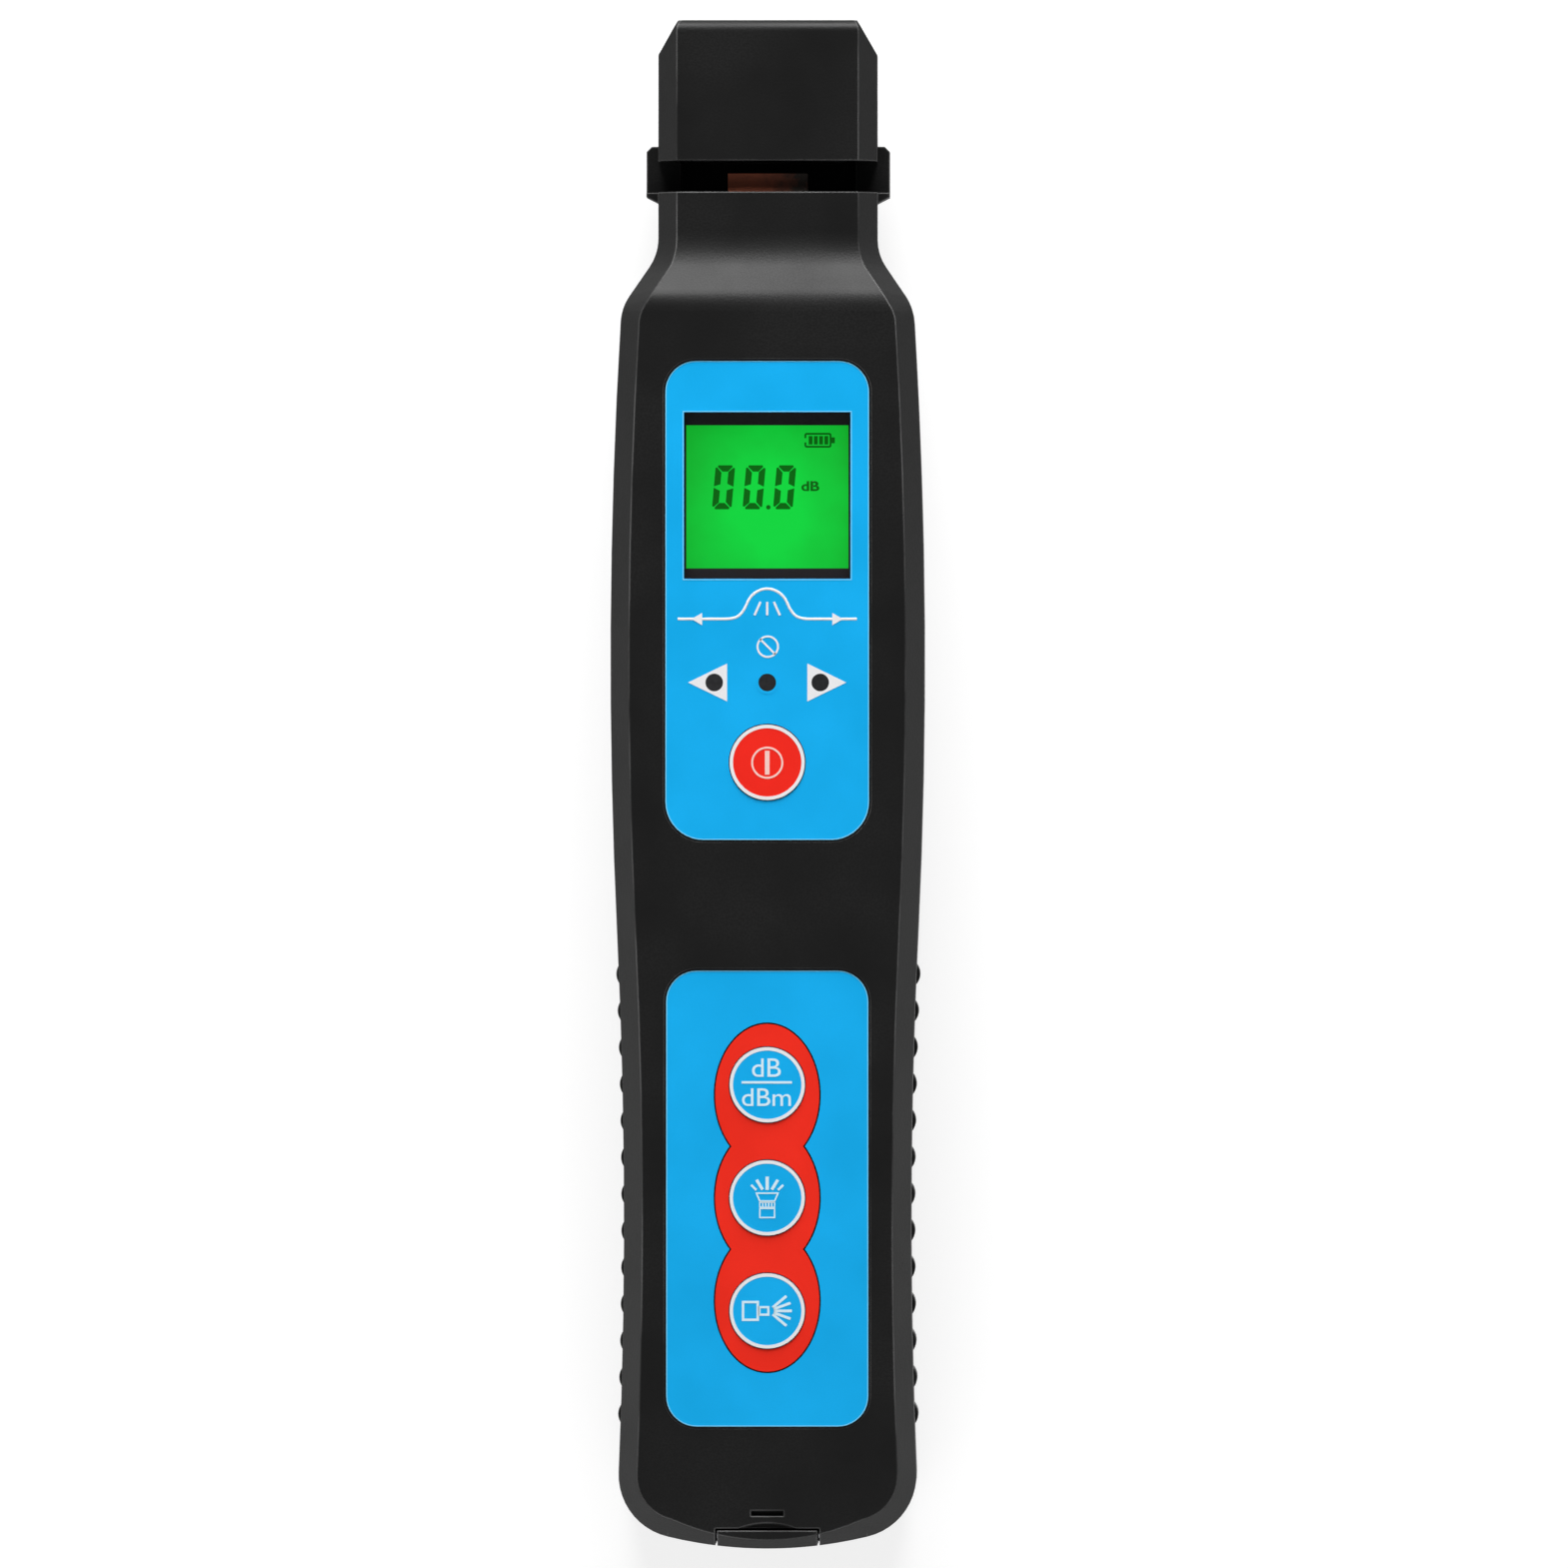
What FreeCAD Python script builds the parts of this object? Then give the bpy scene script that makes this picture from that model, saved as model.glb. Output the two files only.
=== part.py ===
import FreeCAD
import Part
import math
import os
import re
import Sketcher
from FreeCAD import Rotation, Vector

# Live optical fibre identifier, a hand-held clamp-on tester lying on its back.
# The back is the plane Z = 0, the panel side faces +Z and the head points to +Y.
# Lengths are in millimetres and angles in degrees.

DIMENSIONS = (
    ("tail_margin", 16.4, "tail end to lower panel"),
    ("lower_panel_length", 61.1, "lower panel, along the body"),
    ("panel_gap", 17.5, "between the two panels"),
    ("upper_panel_length", 64.2, "upper panel, along the body"),
    ("ramp_margin", 6.7, "upper panel to the ramp"),
    ("ramp_length", 10.8, "ramp from body down to neck"),
    ("neck_length", 5.25, "flat neck below the fibre slot"),
    ("slot_gap", 4.2, "height of the fibre slot"),
    ("head_height", 18.85, "head above the slot"),
    ("belly_width", 42.12, "widest place of the body"),
    ("belly_at", 119.0, "widest place, from the tail"),
    ("belly_radius", 764.0, "curve of the wide sides"),
    ("waist_inset", 1.8, "waist inside the belly, each side"),
    ("waist_at", 44.0, "waist, from the tail"),
    ("tail_radius", 59.0, "curve of the tail end"),
    ("corner_radius", 8.5, "corners of the tail"),
    ("neck_width", 29.4, "neck and head"),
    ("neck_fillet", 7.0, "inner curve into the neck"),
    ("neck_fillet_rise", -0.9, "inner curve against the ramp end"),
    ("shoulder_round", 7.0, "outer curve of the shoulder"),
    ("shoulder_angle", 34.0, "shoulder slope against the long axis"),
    ("wall", 2.2, "front and back walls"),
    ("side_wall", 2.9, "side walls"),
    ("parting_height", 15.0, "joint between the shells"),
    ("seam_height", 0.35, "shadow gap along the joint"),
    ("seam_inset", 0.3, "depth of the shadow gap"),
    ("bevel_width", 2.5, "front bevel seen from the front"),
    ("bevel_depth", 4.5, "front bevel seen from the side"),
    ("crown_inset", 1.2, "front bevel in the middle of the tail"),
    ("crown_radius", 31.0, "curve of the panel edge at the tail"),
    ("back_round", 4.0, "rounding of the back edges"),
    ("ramp_round", 5.0, "outer curve of the ramp"),
    ("ramp_fillet", 9.0, "inner curve of the ramp"),
    ("neck_drop", 4.5, "neck below the panel plane"),
    ("recess_depth", 6.0, "trigger recess in the back"),
    ("recess_lead", 31.8, "recess start below the ramp"),
    ("recess_length", 12.0, "slope of the recess"),
    ("recess_round", 6.0, "outer curve of the recess"),
    ("recess_fillet", 8.0, "inner curve of the recess"),
    ("running_gap", 0.3, "between moving pieces"),
    ("fit_gap", 0.1, "between fixed pieces"),
    ("head_chamfer_side", 2.7, "head corners across"),
    ("head_chamfer_rise", 4.6, "head corners along"),
    ("head_round", 1.5, "front edge at the top of the head"),
    ("head_lip", 1.6, "head wall above the slot"),
    ("collar_width", 32.7, "collar around the slot"),
    ("collar_below", 1.4, "collar below the slot"),
    ("collar_above", 2.05, "collar above the slot"),
    ("collar_corner", 0.7, "upper collar corners"),
    ("collar_slope", 0.85, "rise of the sloped lower collar corners"),
    ("collar_back", 1.2, "collar in from the recess floor"),
    ("ear_height", 2.5, "front ears above the joint"),
    ("grip_count", 13, "grip ribs on each side"),
    ("grip_pitch", 4.93, "between grip ribs"),
    ("grip_at", 17.8, "first grip rib, from the tail"),
    ("grip_radius", 2.2, "curve of a grip rib"),
    ("grip_proud", 0.5, "grip rib outside the wall"),
    ("upper_panel_width", 27.3, "upper overlay"),
    ("upper_panel_corner", 4.1, "upper corners of the upper overlay"),
    ("upper_panel_foot", 5.1, "lower corners of the upper overlay"),
    ("lower_panel_width", 27.1, "lower overlay"),
    ("lower_panel_corner", 4.1, "corners of the lower overlay"),
    ("panel_recess", 0.5, "pocket that takes an overlay"),
    ("overlay_thickness", 0.45, "overlay sheet"),
    ("overlay_gap", 0.2, "groove around an overlay"),
    ("screen_size", 22.3, "display window, square"),
    ("screen_drop", 6.9, "window below the top of the upper panel"),
    ("window_thickness", 1.85, "clear window plate"),
    ("lcd_margin", 1.0, "display glass wider than the window"),
    ("lcd_thickness", 1.8, "display glass"),
    ("backlight_thickness", 2.0, "light plate behind the glass"),
    ("frame_rim", 0.9, "holder around the glass"),
    ("lamp_drop", 43.1, "lamps below the top of the upper panel"),
    ("lamp_pitch", 7.1, "between the lamps"),
    ("lamp_radius", 1.25, "light guide of a lamp"),
    ("lamp_base_radius", 1.7, "lamp foot"),
    ("lamp_base_height", 2.8, "lamp foot"),
    ("power_drop", 53.8, "power key below the top of the upper panel"),
    ("unit_drop", 15.3, "first key below the top of the lower panel"),
    ("key_pitch", 15.15, "between the lower keys"),
    ("key_radius", 5.05, "key cap"),
    ("key_proud", 0.1, "key cap above the panel"),
    ("key_edge", 0.1, "bevelled edge of a key cap"),
    ("key_line", 0.12, "line between a key cap and the overlay"),
    ("key_flange_radius", 6.0, "flange that keeps a key in"),
    ("key_flange_height", 0.9, "key flange"),
    ("key_travel", 0.4, "stroke of a key"),
    ("switch_side", 6.0, "tact switch body"),
    ("switch_height", 3.0, "tact switch body"),
    ("plunger_radius", 1.7, "tact switch plunger"),
    ("lobe_across", 6.98, "half width of a red lobe"),
    ("lobe_along", 9.5, "half length of a red lobe"),
    ("lobe_draw", 1.35, "outer red lobes drawn in from their keys"),
    ("battery_lift", 0.3, "battery above the door"),
    ("battery_width", 26.2, "nine volt battery"),
    ("battery_length", 46.4, "nine volt battery without studs"),
    ("battery_thickness", 17.2, "nine volt battery"),
    ("battery_edge", 1.8, "long edges of the battery"),
    ("stud_height", 2.1, "battery studs"),
    ("stud_offset", 6.35, "battery studs from the middle"),
    ("male_stud_radius", 2.9, "battery stud"),
    ("female_stud_radius", 4.0, "battery socket"),
    ("snap_thickness", 1.5, "battery connector"),
    ("bay_gap", 0.4, "play around the battery"),
    ("rib_thickness", 1.5, "inner ribs"),
    ("door_lip", 1.0, "door wider than the bay"),
    ("door_plate", 1.2, "outer plate of the door"),
    ("door_groove", 0.5, "finger grooves of the door"),
    ("board_gap", 1.1, "battery to board"),
    ("board_thickness", 1.6, "circuit board"),
    ("board_width", 25.6, "circuit board"),
    ("board_tail", 8.0, "board below the last key"),
    ("display_stack", 5.4, "board to the inside of the front"),
    ("standoff_radius", 2.2, "board posts"),
    ("standoff_inset", 2.6, "board posts from the board edge"),
    ("board_bore", 1.0, "board holes"),
    ("board_screw_radius", 0.8, "board screw shank"),
    ("board_screw_length", 5.0, "board screw shank"),
    ("board_screw_head", 1.7, "board screw head radius"),
    ("board_screw_cap", 0.9, "board screw head height"),
    ("boss_radius", 2.9, "screw bosses"),
    ("screw_radius", 1.1, "case screw shank"),
    ("screw_play", 0.05, "play around a screw in its thread"),
    ("screw_bore", 1.3, "case screw clearance hole"),
    ("screw_head", 2.1, "case screw head radius"),
    ("screw_cap", 1.6, "case screw head height"),
    ("screw_sink", 2.4, "case screw head below the surface"),
    ("screw_length", 17.0, "case screw shank"),
    ("socket_radius", 1.15, "hexagon socket"),
    ("socket_depth", 0.9, "hexagon socket"),
    ("tail_boss_at", 13.0, "tail screws, from the tail"),
    ("tail_boss_out", 13.2, "tail screws from the middle"),
    ("shoulder_boss_drop", 4.5, "shoulder screws below the ramp"),
    ("shoulder_boss_out", 12.4, "shoulder screws from the middle"),
    ("head_boss_drop", 5.4, "head screws below the top"),
    ("head_boss_side", 1.8, "head screws in from the head walls"),
    ("head_boss_radius", 2.2, "head screw posts"),
    ("head_screw_radius", 0.95, "head screw shank"),
    ("head_screw_bore", 1.15, "head screw clearance hole"),
    ("head_screw_head", 1.9, "head screw head radius"),
    ("head_screw_cap", 1.4, "head screw head height"),
    ("head_screw_length", 13.0, "head screw shank"),
    ("port_height", 11.2, "laser axis above the back"),
    ("port_radius", 3.4, "ferrule port"),
    ("port_bore", 1.26, "ferrule bore"),
    ("port_length", 8.0, "ferrule port"),
    ("port_block_half", 7.6, "half width of the port block"),
    ("port_block_depth", 9.4, "port block, from the tail"),
    ("laser_radius", 4.5, "laser module"),
    ("laser_length", 21.5, "laser module"),
    ("laser_tail_radius", 3.0, "narrow end of the laser module"),
    ("cradle_half", 5.6, "half width of the laser cradle"),
    ("flap_half", 6.7, "half width of the tail flap"),
    ("flap_thickness", 1.75, "tail flap"),
    ("flap_head", 2.45, "thicker upper end of the tail flap"),
    ("flap_head_drop", 5.2, "thicker end below the panel plane"),
    ("hinge_height", 5.6, "hinge axis above the back"),
    ("hinge_at", 1.5, "hinge axis, from the tail"),
    ("knuckle_radius", 1.3, "hinge knuckle"),
    ("pin_radius", 0.6, "hinge pin"),
    ("pin_half", 8.4, "half length of the hinge pin"),
    ("pin_play", 0.03, "play around the hinge pin"),
    ("nail_half", 3.9, "half width of the finger scoop above the flap"),
    ("nail_rise", 0.75, "finger scoop, along the body"),
    ("nail_depth", 0.8, "finger scoop"),
    ("latch_at", 4.4, "latch slot, from the tail"),
    ("latch_width", 4.4, "latch slot"),
    ("latch_height", 0.75, "latch slot"),
    ("latch_depth", 1.2, "latch slot"),
    ("slider_half", 5.0, "half width of the clamp slider"),
    ("slider_lift", 0.5, "slider above the recess floor"),
    ("slider_thickness", 5.8, "clamp slider"),
    ("slider_length", 30.2, "clamp slider"),
    ("slider_top_gap", 1.6, "slider below the slot"),
    ("pedestal_length", 9.0, "upright end of the slider"),
    ("pedestal_gap", 0.7, "upright end below the neck roof"),
    ("clamp_travel", 4.0, "stroke of the clamp"),
    ("guide_height", 4.6, "slider guide ribs"),
    ("adapter_half", 5.35, "half width of the fibre adapter"),
    ("adapter_rise", 2.5, "adapter above the neck"),
    ("adapter_seat", 1.0, "adapter below the neck"),
    ("adapter_base", 0.8, "adapter above the joint"),
    ("adapter_gap", 0.9, "adapter below the neck roof"),
    ("adapter_lip", 1.0, "flat lips of the adapter"),
    ("bend_radius", 10.8, "bend that the fibre is pressed to"),
    ("bend_depth", 0.6, "depth of the bend groove"),
    ("tongue_half", 2.4, "half width of the adapter tongue"),
    ("tongue_rise", 1.2, "adapter tongue"),
    ("trigger_half", 8.0, "half width of the trigger"),
    ("trigger_length", 19.0, "trigger"),
    ("trigger_top_drop", 9.6, "trigger below the slot"),
    ("trigger_plate", 3.6, "trigger"),
    ("trigger_gap", 0.4, "trigger to the recess floor"),
    ("ridge_count", 5, "finger ridges on the trigger"),
    ("ridge_pitch", 3.4, "between the ridges"),
    ("ridge_radius", 0.9, "finger ridge"),
    ("stem_half", 2.6, "half width of the trigger stem"),
    ("stem_length", 8.0, "trigger stem"),
    ("stem_rise", 2.0, "stem inside the slider"),
    ("spring_height", 11.6, "spring axis above the back"),
    ("spring_radius", 2.1, "spring, to the middle of the wire"),
    ("spring_wire", 0.3, "spring wire radius"),
    ("spring_turns", 8, "spring turns"),
    ("spring_room", 17.0, "room for the spring"),
    ("spigot_radius", 1.3, "spring spigot"),
    ("spigot_length", 3.5, "spring spigot"),
    ("block_side", 1.6, "optical block in from the head walls"),
    ("block_length", 9.4, "optical block"),
    ("block_lift", 0.4, "optical block above the joint"),
    ("block_recess", 0.3, "optical block above the slot"),
    ("block_play", 0.2, "optical block in its window"),
    ("detector_radius", 2.3, "light detector"),
    ("detector_length", 5.0, "light detector"),
    ("detector_tilt", 40.0, "light detector against the long axis"),
    ("detector_out", 3.2, "detector axis at the slot"),
    ("detector_back", 2.2, "detector in from the slot"),
    ("torch_height", 11.5, "torch lamp above the back"),
    ("torch_radius", 2.5, "torch lamp"),
    ("torch_flange_radius", 2.9, "torch lamp foot"),
    ("torch_flange", 1.0, "torch lamp foot"),
    ("torch_wall", 3.0, "wall at the top of the head"),
    ("torch_pocket_half", 6.4, "half width of the lamp pocket"),
    ("wire_half", 2.0, "half width of the wire way"),
)

LAYOUT = (
    ("overall_length", "tail_margin + lower_panel_length + panel_gap + upper_panel_length + ramp_margin"
     " + ramp_length + neck_length + slot_gap + head_height"),
    ("body_depth", "2 * wall + battery_lift + battery_thickness + board_gap + board_thickness + display_stack"),
    ("tail_y", "-overall_length / 2"),
    ("lower_bottom_y", "tail_y + tail_margin"),
    ("lower_top_y", "lower_bottom_y + lower_panel_length"),
    ("upper_bottom_y", "lower_top_y + panel_gap"),
    ("upper_top_y", "upper_bottom_y + upper_panel_length"),
    ("ramp_low_y", "upper_top_y + ramp_margin"),
    ("ramp_high_y", "ramp_low_y + ramp_length"),
    ("neck_y", "ramp_high_y + neck_length"),
    ("head_y", "neck_y + slot_gap"),
    ("top_y", "head_y + head_height"),
    ("waist_y", "tail_y + waist_at"),
    ("belly_y", "tail_y + belly_at"),
    ("waist_half", "belly_width / 2 - waist_inset"),
    ("waist_radius", "((belly_at - waist_at)^2 + waist_inset^2) / (2 * waist_inset) - belly_radius"),
    ("neck_fillet_y", "ramp_high_y + neck_fillet_rise"),
    ("tail_panel_radius", "tail_radius - bevel_width"),
    ("crown_reach", "crown_radius * tail_panel_radius / (tail_panel_radius - crown_radius)"),
    ("crown_half", "sqrt(2 * (bevel_width - crown_inset) * crown_reach)"),
    ("chamber_half", "neck_width / 2 - side_wall"),
    ("block_half", "chamber_half - block_side"),
    ("head_boss_out", "chamber_half - head_boss_side"),
    ("roof_z", "body_depth - wall"),
    ("neck_front_z", "body_depth - neck_drop"),
    ("neck_roof_z", "neck_front_z - wall"),
    ("recess_floor_z", "recess_depth + wall"),
    ("recess_low_y", "ramp_low_y - recess_lead"),
    ("recess_high_y", "recess_low_y + recess_length"),
    ("panel_z", "body_depth - panel_recess"),
    ("overlay_z", "panel_z + overlay_thickness"),
    ("board_top_z", "roof_z - display_stack"),
    ("board_z", "board_top_z - board_thickness"),
    ("screen_top_y", "upper_top_y - screen_drop"),
    ("screen_y", "screen_top_y - screen_size"),
    ("screen_half", "screen_size / 2"),
    ("lcd_half", "screen_half + lcd_margin"),
    ("lcd_z", "roof_z - fit_gap - lcd_thickness"),
    ("backlight_z", "lcd_z - fit_gap - backlight_thickness"),
    ("lamp_y", "upper_top_y - lamp_drop"),
    ("power_y", "upper_top_y - power_drop"),
    ("unit_y", "lower_top_y - unit_drop"),
    ("torch_key_y", "unit_y - key_pitch"),
    ("beam_y", "torch_key_y - key_pitch"),
    ("lobe_pitch", "key_pitch - lobe_draw"),
    ("key_top_z", "body_depth + key_proud"),
    ("key_z", "roof_z - running_gap - key_flange_height"),
    ("key_hole_radius", "key_radius + running_gap"),
    ("key_line_radius", "key_radius + key_line"),
    ("plunger_z", "key_z - key_travel - running_gap"),
    ("port_y", "tail_y + flap_thickness + running_gap"),
    ("port_end_y", "port_y + port_length"),
    ("laser_y", "port_end_y + fit_gap"),
    ("laser_end_y", "laser_y + laser_length"),
    ("bay_y", "laser_end_y + rib_thickness + 2 * bay_gap"),
    ("battery_y", "bay_y + bay_gap"),
    ("battery_end_y", "battery_y + battery_length"),
    ("battery_z", "wall + battery_lift"),
    ("snap_y", "battery_end_y + bay_gap"),
    ("bay_end_y", "snap_y + snap_thickness + stud_height"),
    ("bay_half", "battery_width / 2 + bay_gap"),
    ("rebate_half", "bay_half + door_lip"),
    ("rebate_z", "door_plate + running_gap"),
    ("tail_boss_y", "tail_y + tail_boss_at"),
    ("shoulder_boss_y", "ramp_low_y - shoulder_boss_drop"),
    ("head_boss_y", "top_y - head_boss_drop"),
    ("tail_seat_z", "screw_sink + screw_cap"),
    ("shoulder_seat_z", "recess_depth + screw_sink"),
    ("head_seat_z", "recess_depth + head_screw_cap + fit_gap"),
    ("board_y", "beam_y - board_tail"),
    ("board_end_y", "shoulder_boss_y - boss_radius - running_gap"),
    ("standoff_out", "board_width / 2 - standoff_inset"),
    ("standoff_low_y", "board_y + standoff_inset"),
    ("standoff_high_y", "bay_end_y + standoff_radius + rib_thickness"),
    ("hinge_y", "tail_y + hinge_at"),
    ("flap_step_z", "body_depth - flap_head_drop"),
    ("nail_y", "tail_y + flap_head + running_gap + nail_rise"),
    ("nail_radius", "(nail_half^2 + nail_rise^2) / (2 * nail_rise)"),
    ("slider_top_y", "neck_y - slider_top_gap"),
    ("slider_y", "slider_top_y - slider_length"),
    ("slider_z", "recess_floor_z + slider_lift"),
    ("slider_top_z", "slider_z + slider_thickness"),
    ("pedestal_y", "slider_top_y - pedestal_length"),
    ("pedestal_z", "neck_roof_z - pedestal_gap"),
    ("adapter_y", "neck_y - adapter_seat"),
    ("adapter_top_y", "neck_y + adapter_rise"),
    ("adapter_z", "parting_height + adapter_base"),
    ("adapter_top_z", "neck_roof_z - adapter_gap"),
    ("trigger_top_y", "neck_y - trigger_top_drop"),
    ("trigger_y", "trigger_top_y - trigger_length"),
    ("trigger_top_z", "recess_depth - trigger_gap"),
    ("trigger_z", "trigger_top_z - trigger_plate"),
    ("stem_y", "trigger_y + (trigger_length - stem_length) / 2"),
    ("stem_end_y", "stem_y + stem_length"),
    ("stem_top_z", "slider_z + stem_rise"),
    ("spring_y", "slider_y - spring_room"),
    ("block_y", "head_y + block_recess"),
    ("block_end_y", "block_y + block_length"),
    ("block_z", "parting_height + block_lift"),
    ("detector_z", "(block_z + neck_roof_z) / 2"),
    ("torch_wall_y", "top_y - torch_wall"),
)

doc = FreeCAD.newDocument("FibreIdentifier")
sheet = doc.addObject("Spreadsheet::Sheet", "Dims")
layout = doc.addObject("App::VarSet", "Layout")
OWNER = {}
PIECES = []
AXIS_TURN = {
    "X": Rotation(Vector(0, 1, 0), 90),
    "Y": Rotation(Vector(1, 0, 0), -90),
    "Z": Rotation(),
}
START, END, CENTRE = range(1, 4)
H_AXIS, V_AXIS = range(-1, -3, -1)


def formula(text):
    """Expression text with every known name prefixed by the object that holds it."""
    def owned(found):
        word = found.group()
        return f"{OWNER[word]}.{word}" if word in OWNER else word
    return re.sub(r"[a-z_]\w*", owned, text)


def number(alias):
    """Present value of a named dimension."""
    return float(getattr(doc.getObject(OWNER[alias]), alias))


def bind(thing, formulas):
    """Drive the given properties of an object by formulas."""
    for path, text in formulas.items():
        thing.setExpression(path, formula(text))


def fill_sheet():
    """Write the driving dimensions and the places worked out from them."""
    for row, (alias, size, note) in enumerate(DIMENSIONS, 1):
        sheet.set(f"A{row}", note)
        sheet.set(f"B{row}", str(size))
        sheet.setAlias(f"B{row}", alias)
        OWNER[alias] = "Dims"
    doc.recompute()
    for alias, text in LAYOUT:
        layout.addProperty("App::PropertyFloat", alias)
        bind(layout, {alias: text})
        OWNER[alias] = "Layout"
    doc.recompute()


def both(half):
    """Span that runs the same way to both sides of the middle."""
    return f"-({half})", half


def slab(name, across, along, up):
    """Box between the given formula spans."""
    thing = doc.addObject("Part::Box", name)
    bind(thing, {
        "Placement.Base.x": across[0],
        "Placement.Base.y": along[0],
        "Placement.Base.z": up[0],
        "Length": f"({across[1]}) - ({across[0]})",
        "Width": f"({along[1]}) - ({along[0]})",
        "Height": f"({up[1]}) - ({up[0]})",
    })
    return thing


def rod(name, axis, centre, span, radius):
    """Cylinder along an axis; centre holds the two other coordinates in order."""
    thing = doc.addObject("Part::Cylinder", name)
    thing.Placement = FreeCAD.Placement(Vector(), AXIS_TURN[axis])
    place = list(centre)
    place.insert("XYZ".index(axis), span[0])
    bind(thing, {
        "Placement.Base.x": place[0],
        "Placement.Base.y": place[1],
        "Placement.Base.z": place[2],
        "Radius": radius,
        "Height": f"({span[1]}) - ({span[0]})",
    })
    return thing


def cone(name, centre, span, radii):
    """Upright cone between two levels with a radius at each of them."""
    thing = doc.addObject("Part::Cone", name)
    bind(thing, {
        "Placement.Base.x": centre[0],
        "Placement.Base.y": centre[1],
        "Placement.Base.z": span[0],
        "Radius1": radii[0],
        "Radius2": radii[1],
        "Height": f"({span[1]}) - ({span[0]})",
    })
    return thing


def fuse(name, *things):
    """Union of several objects."""
    thing = doc.addObject("Part::MultiFuse", name)
    thing.Shapes = list(things)
    thing.Refine = True
    return thing


def cut(name, base, *tools):
    """Base object with the tools taken away."""
    thing = doc.addObject("Part::Cut", name)
    thing.Base = base
    thing.Tool = tools[0] if len(tools) == 1 else fuse(f"{name}Tools", *tools)
    thing.Refine = True
    return thing


def common(name, first, second):
    """Volume that two objects share."""
    thing = doc.addObject("Part::Common", name)
    thing.Base = first
    thing.Tool = second
    thing.Refine = True
    return thing


def twin(thing):
    """An object and its mirror image on the other side of the middle."""
    image = doc.addObject("Part::Mirroring", f"{thing.Name}Image")
    image.Source = thing
    image.Normal = Vector(1, 0, 0)
    return thing, image


def new_sketch(body, name, role, lift="0"):
    """Sketch on an origin plane of the body, lifted off it by a formula."""
    sketch = body.newObject("Sketcher::SketchObject", name)
    plane = next(item for item in body.Origin.OriginFeatures if item.Role == role)
    sketch.AttachmentSupport = [(plane, "")]
    sketch.MapMode = "FlatFace"
    if lift != "0":
        bind(sketch, {"AttachmentOffset.Base.z": lift})
    return sketch


def tie(sketch, name, text, *constraint):
    """Add a named constraint and drive it by a formula."""
    index = sketch.addConstraint(Sketcher.Constraint(*constraint))
    sketch.renameConstraint(index, name)
    bind(sketch, {f"Constraints.{name}": text})


def polygon(sketch, points):
    """Closed outline whose corners are held by formulas."""
    count = len(points)
    spots = []
    for index in range(count):
        angle = 2 * math.pi * index / count
        spots.append(Vector(math.cos(angle), math.sin(angle), 0))
    for index in range(count):
        sketch.addGeometry(Part.LineSegment(spots[index], spots[(index + 1) % count]))
    for index in range(count):
        sketch.addConstraint(Sketcher.Constraint("Coincident", index, END, (index + 1) % count, START))
    for index, (first, second) in enumerate(points):
        if first == "0":
            sketch.addConstraint(Sketcher.Constraint("PointOnObject", index, START, V_AXIS))
        else:
            tie(sketch, f"first{index}", first, "DistanceX", index, START, spots[index].x)
        tie(sketch, f"second{index}", second, "DistanceY", index, START, spots[index].y)


def pad(body, sketch, name, length, side="One side"):
    """Raise a sketch into the body."""
    feature = body.newObject("PartDesign::Pad", name)
    feature.Profile = sketch
    feature.SideType = side
    bind(feature, {"Length": length})
    return feature


def prism(name, points, base, height, role="XY_Plane", side="One side"):
    """Body raised from a polygon."""
    body = doc.addObject("PartDesign::Body", name)
    sketch = new_sketch(body, f"{name}Outline", role, base)
    polygon(sketch, points)
    pad(body, sketch, f"{name}Pad", height, side)
    return body


def turned(name, points):
    """Body turned about the Z axis from a radius and height outline."""
    body = doc.addObject("PartDesign::Body", name)
    sketch = new_sketch(body, f"{name}Outline", "XZ_Plane")
    polygon(sketch, points)
    feature = body.newObject("PartDesign::Revolution", f"{name}Turn")
    feature.Profile = sketch
    feature.ReferenceAxis = (sketch, ["V_Axis"])
    return body


def edge_faces(shape, edge):
    """Outward normals of the faces beside an edge, taken at its middle."""
    spot = edge.valueAt((edge.FirstParameter + edge.LastParameter) / 2)
    normals = []
    for face in shape.ancestorsOfType(edge, Part.Face):
        normals.append(face.normalAt(*face.Surface.parameter(spot)))
    return spot, normals


def rim(shape, facing, keep):
    """Names of the edges between a face that looks to facing in Z and a kept upright face."""
    names = []
    for index, edge in enumerate(shape.Edges, 1):
        normals = edge_faces(shape, edge)[1]
        ends = [normal for normal in normals if normal.z * facing > 0.3]
        sides = [normal for normal in normals if abs(normal.z) < 1e-6 and keep(normal)]
        if len(ends) == 1 and len(sides) == 1:
            names.append(f"Edge{index}")
    return names


def uprights(shape, keep):
    """Names of the edges along Z whose place is kept."""
    names = []
    for index, edge in enumerate(shape.Edges, 1):
        spot = edge.valueAt((edge.FirstParameter + edge.LastParameter) / 2)
        along = edge.tangentAt(edge.FirstParameter)
        if abs(along.z) > 0.999 and keep(spot):
            names.append(f"Edge{index}")
    return names


def fillet(body, name, edges, radius):
    """Round edges of the body's last feature."""
    base = body.Tip
    feature = body.newObject("PartDesign::Fillet", name)
    feature.Base = (base, edges)
    bind(feature, {"Radius": radius})
    doc.recompute()
    return feature


def bevel(body, name, edges):
    """Front bevel on edges of the body's last feature, wide at the front and deep at the side."""
    base = body.Tip
    feature = body.newObject("PartDesign::Chamfer", name)
    feature.Base = (base, edges)
    feature.ChamferType = "Two distances"
    feature.FlipDirection = True
    bind(feature, {"Size": "bevel_width", "Size2": "bevel_depth"})
    doc.recompute()
    return feature


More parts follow.
